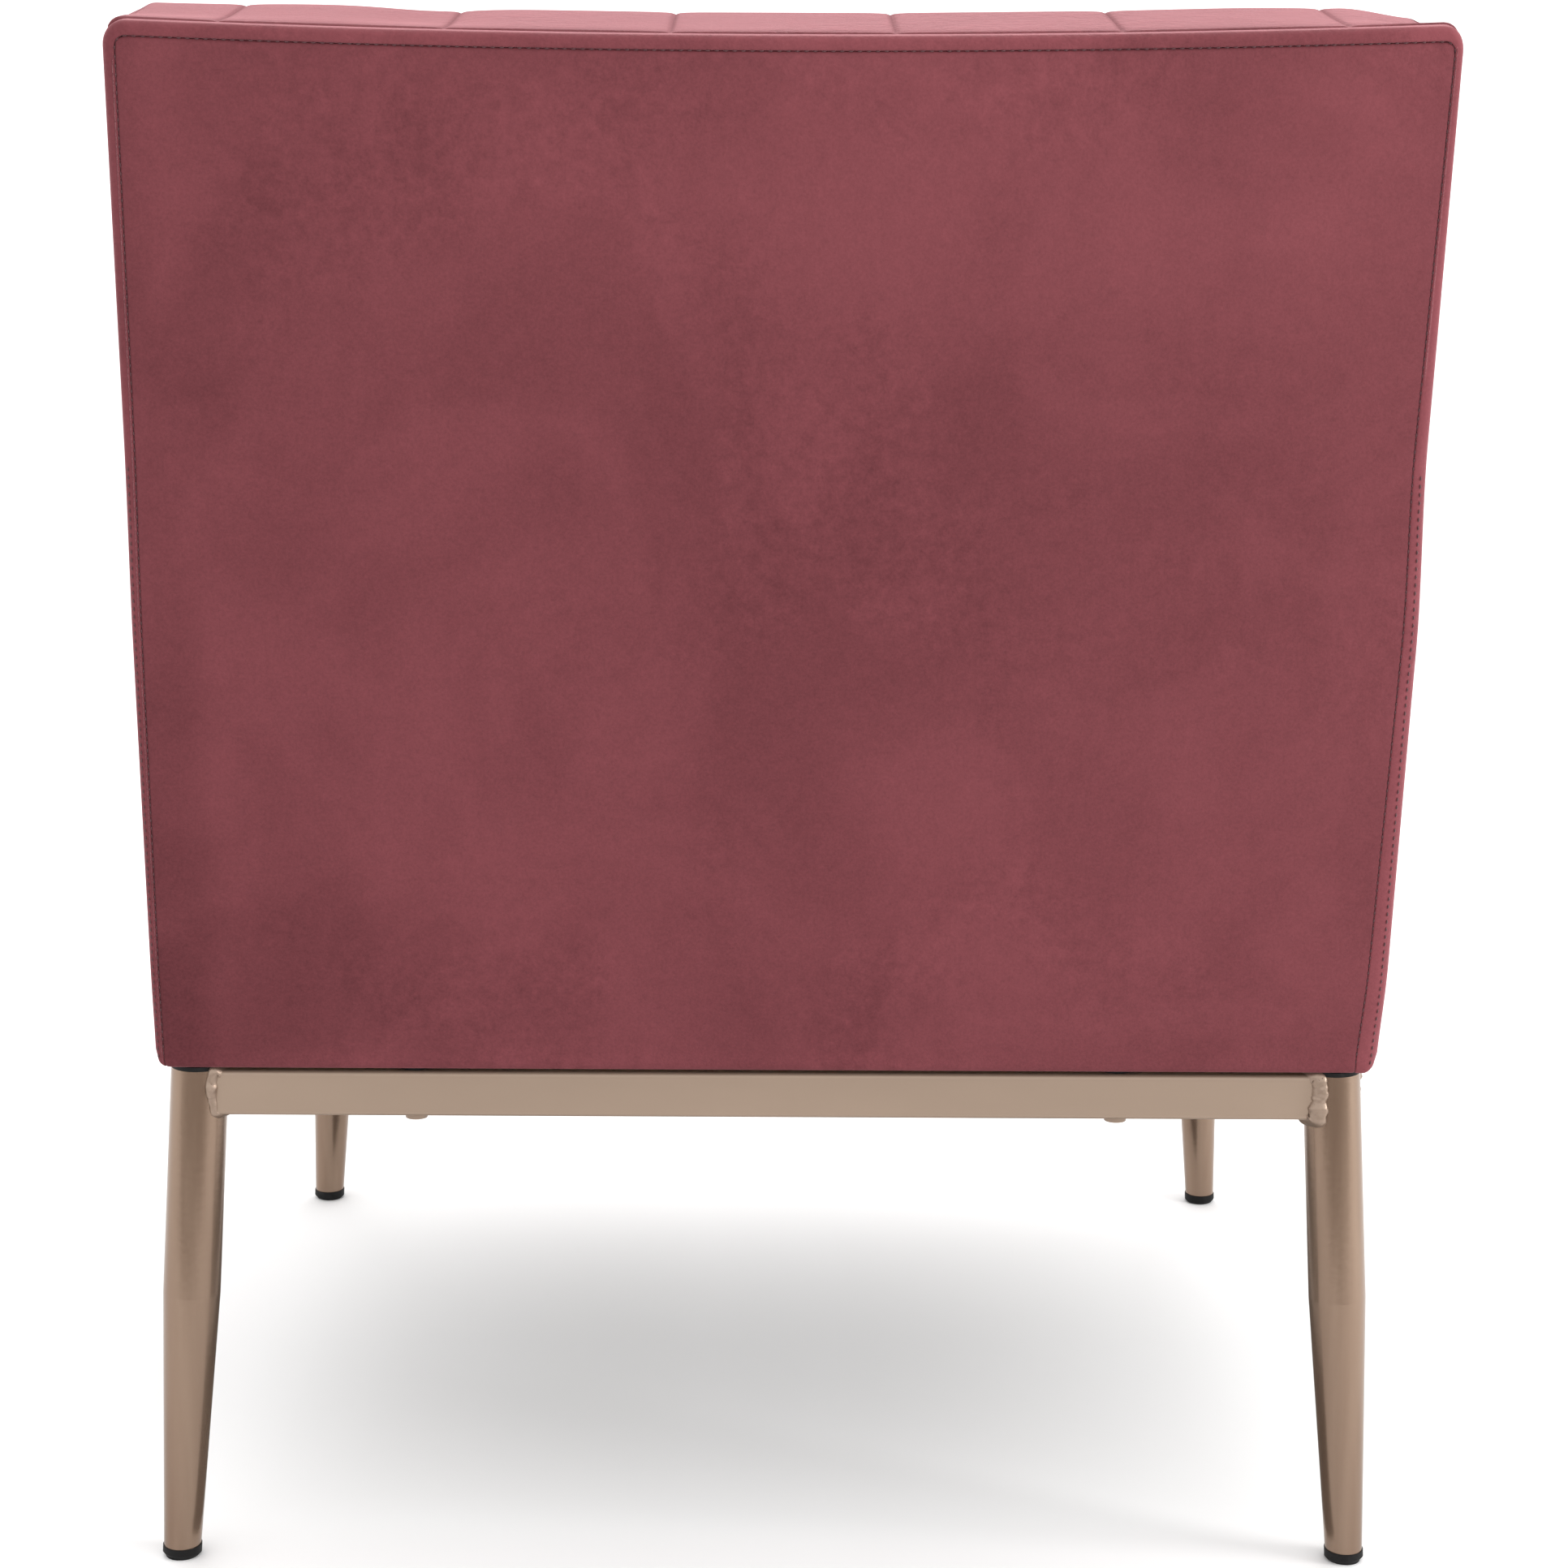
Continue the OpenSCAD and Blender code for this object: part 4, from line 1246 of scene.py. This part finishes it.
def bottom_lining():
    """The lining under the seat: one thin sheet stapled at its edges, which hangs a little in
    the middle, as (1 - u^4)(1 - v^4), with soft puckers at the staples."""
    lining = fibres("lining", srgb(18, 18, 20), srgb(52, 52, 56), 700)
    low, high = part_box("dust_cover")
    u, v = np.meshgrid(np.linspace(-1, 1, 121), np.linspace(-1, 1, 121), indexing="ij")
    x = (low.x + high.x) / 2 + u * (high.x - low.x) / 2
    y = (low.y + high.y) / 2 + v * (high.y - low.y) / 2
    edge = np.maximum(np.abs(u), np.abs(v))
    along = np.where(np.abs(u) > np.abs(v), v, u)
    pucker = 0.5 * MM * np.cos(46 * along) * np.exp(-((1 - edge) / 0.05) ** 2)
    sag = 4.5 * MM * (1 - u ** 4) * (1 - v ** 4) * (np.abs(u) < 1)
    z = high.z - 0.5 * MM + pucker * (1 - edge) * 6 - sag
    number = np.arange(u.size).reshape(u.shape)
    points = np.stack([x, y, z], -1).reshape(-1, 3)
    sheet = piece("bottom_lining", points, grid_quads(number), lining, "lining")
    wall = sheet.modifiers.new("cloth_thickness", "SOLIDIFY")
    wall.thickness = 0.4 * MM
    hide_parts("dust_cover")


back_panel()
back_edge_strip()
tufted_back()
covered_buttons()
back_stitches()
arm_padding()
arm_fronts()
arm_panels()
seat_front()
cushion()
weld_seams()
bottom_lining()


# ---- Stage ------------------------------------------------------------------------------


def pale(name, colour):
    """A plain matt finish with a breath of unevenness, for the stage."""
    made = Shader(name)
    faint = made.noise(made.place(), 3, 2)
    shade = made.blend(faint, tuple(0.985 * c for c in colour), colour)
    return made.finish({"Specular IOR Level": 0.1}, shade, 0.9)


def flat_sheet(name, low, high, z, colour):
    """A level rectangle between two corners, at height z, in a pale finish."""
    mesh = bpy.data.meshes.new(name)
    corners = [(low[0], low[1]), (high[0], low[1]), (high[0], high[1]), (low[0], high[1])]
    mesh.from_pydata([(x, y, z) for x, y in corners], [], [(0, 1, 2, 3)])
    mesh.materials.append(pale(name + "_paint", colour))
    thing = placed(name, mesh)
    return thing


def lamp(name, place, aim, size, power):
    """A square soft light at a place, facing aim."""
    light = bpy.data.lights.new(name, "AREA")
    light.shape = "SQUARE"
    light.size = size
    light.energy = power
    thing = placed(name, light)
    thing.location = place
    thing.rotation_mode = "QUATERNION"
    thing.rotation_quaternion = (Vector(aim) - Vector(place)).to_track_quat("-Z", "Y")


def daylight():
    """A white surround, and the way colours are shown."""
    scene = bpy.context.scene
    world = bpy.data.worlds.new("surround")
    scene.world = world
    world.use_nodes = True
    background = world.node_tree.nodes["Background"]
    background.inputs["Color"].default_value = (1, 1, 1, 1)
    background.inputs["Strength"].default_value = 1.45
    scene.view_settings.view_transform = "Standard"


def camera():
    """The camera behind the chair, a little above its back and looking slightly down."""
    yaw, pitch, roll = (math.radians(a) for a in (-0.353, 11.69, 0.384))
    level = math.cos(pitch)
    view = Vector((math.sin(yaw) * level, -math.cos(yaw) * level, -math.sin(pitch)))
    right = Vector((-math.cos(yaw), -math.sin(yaw), 0))
    up = right.cross(view)
    across = right * math.cos(roll) + up * math.sin(roll)
    above = up * math.cos(roll) - right * math.sin(roll)
    data = bpy.data.cameras.new("camera")
    data.lens = 72.49
    data.sensor_width = 36
    data.clip_start = 0.05
    thing = placed("camera", data)
    turn = Matrix((across, above, -view)).transposed().to_4x4()
    thing.matrix_world = Matrix.Translation((1.6 * MM, REAR_Y + 1.6306, 0.7753)) @ turn
    bpy.context.scene.camera = thing


def dark_card(name, low, high, tone):
    """A dark sheet on the floor, seen only in reflections, which gives lacquered tubes a dark
    streak. low and high are two of its corners."""
    card = flat_sheet(name, low, high, 2 * MM, (tone, 0.85 * tone, 0.75 * tone))
    card.visible_camera = card.visible_diffuse = card.visible_shadow = False


FLOOR_REACH = 14.0

flat_sheet("floor", (-FLOOR_REACH,) * 2, (FLOOR_REACH,) * 2, 0, (0.90, 0.894, 0.892))
dark_card("rear_card", (-4, 0.92), (4, 4), 0.30)
# The cards under the chair are painted shade: in the front legs' reflections they stand in for the
# chair's shadow on the floor
for sign, end in ((1, "left"), (-1, "right")):
    dark_card("under_card_" + end, (sign * 0.05, -0.25), (sign * 0.29, 0.30), 0.22)
daylight()
lamp("front_light", (0.1, -1.5, 2.8), (0, 0, 0.5), 2.2, 26)
lamp("right_light", (-2.3, 0.85, 1.15), (-0.3, 0.3, 0.6), 0.8, 25)
camera()
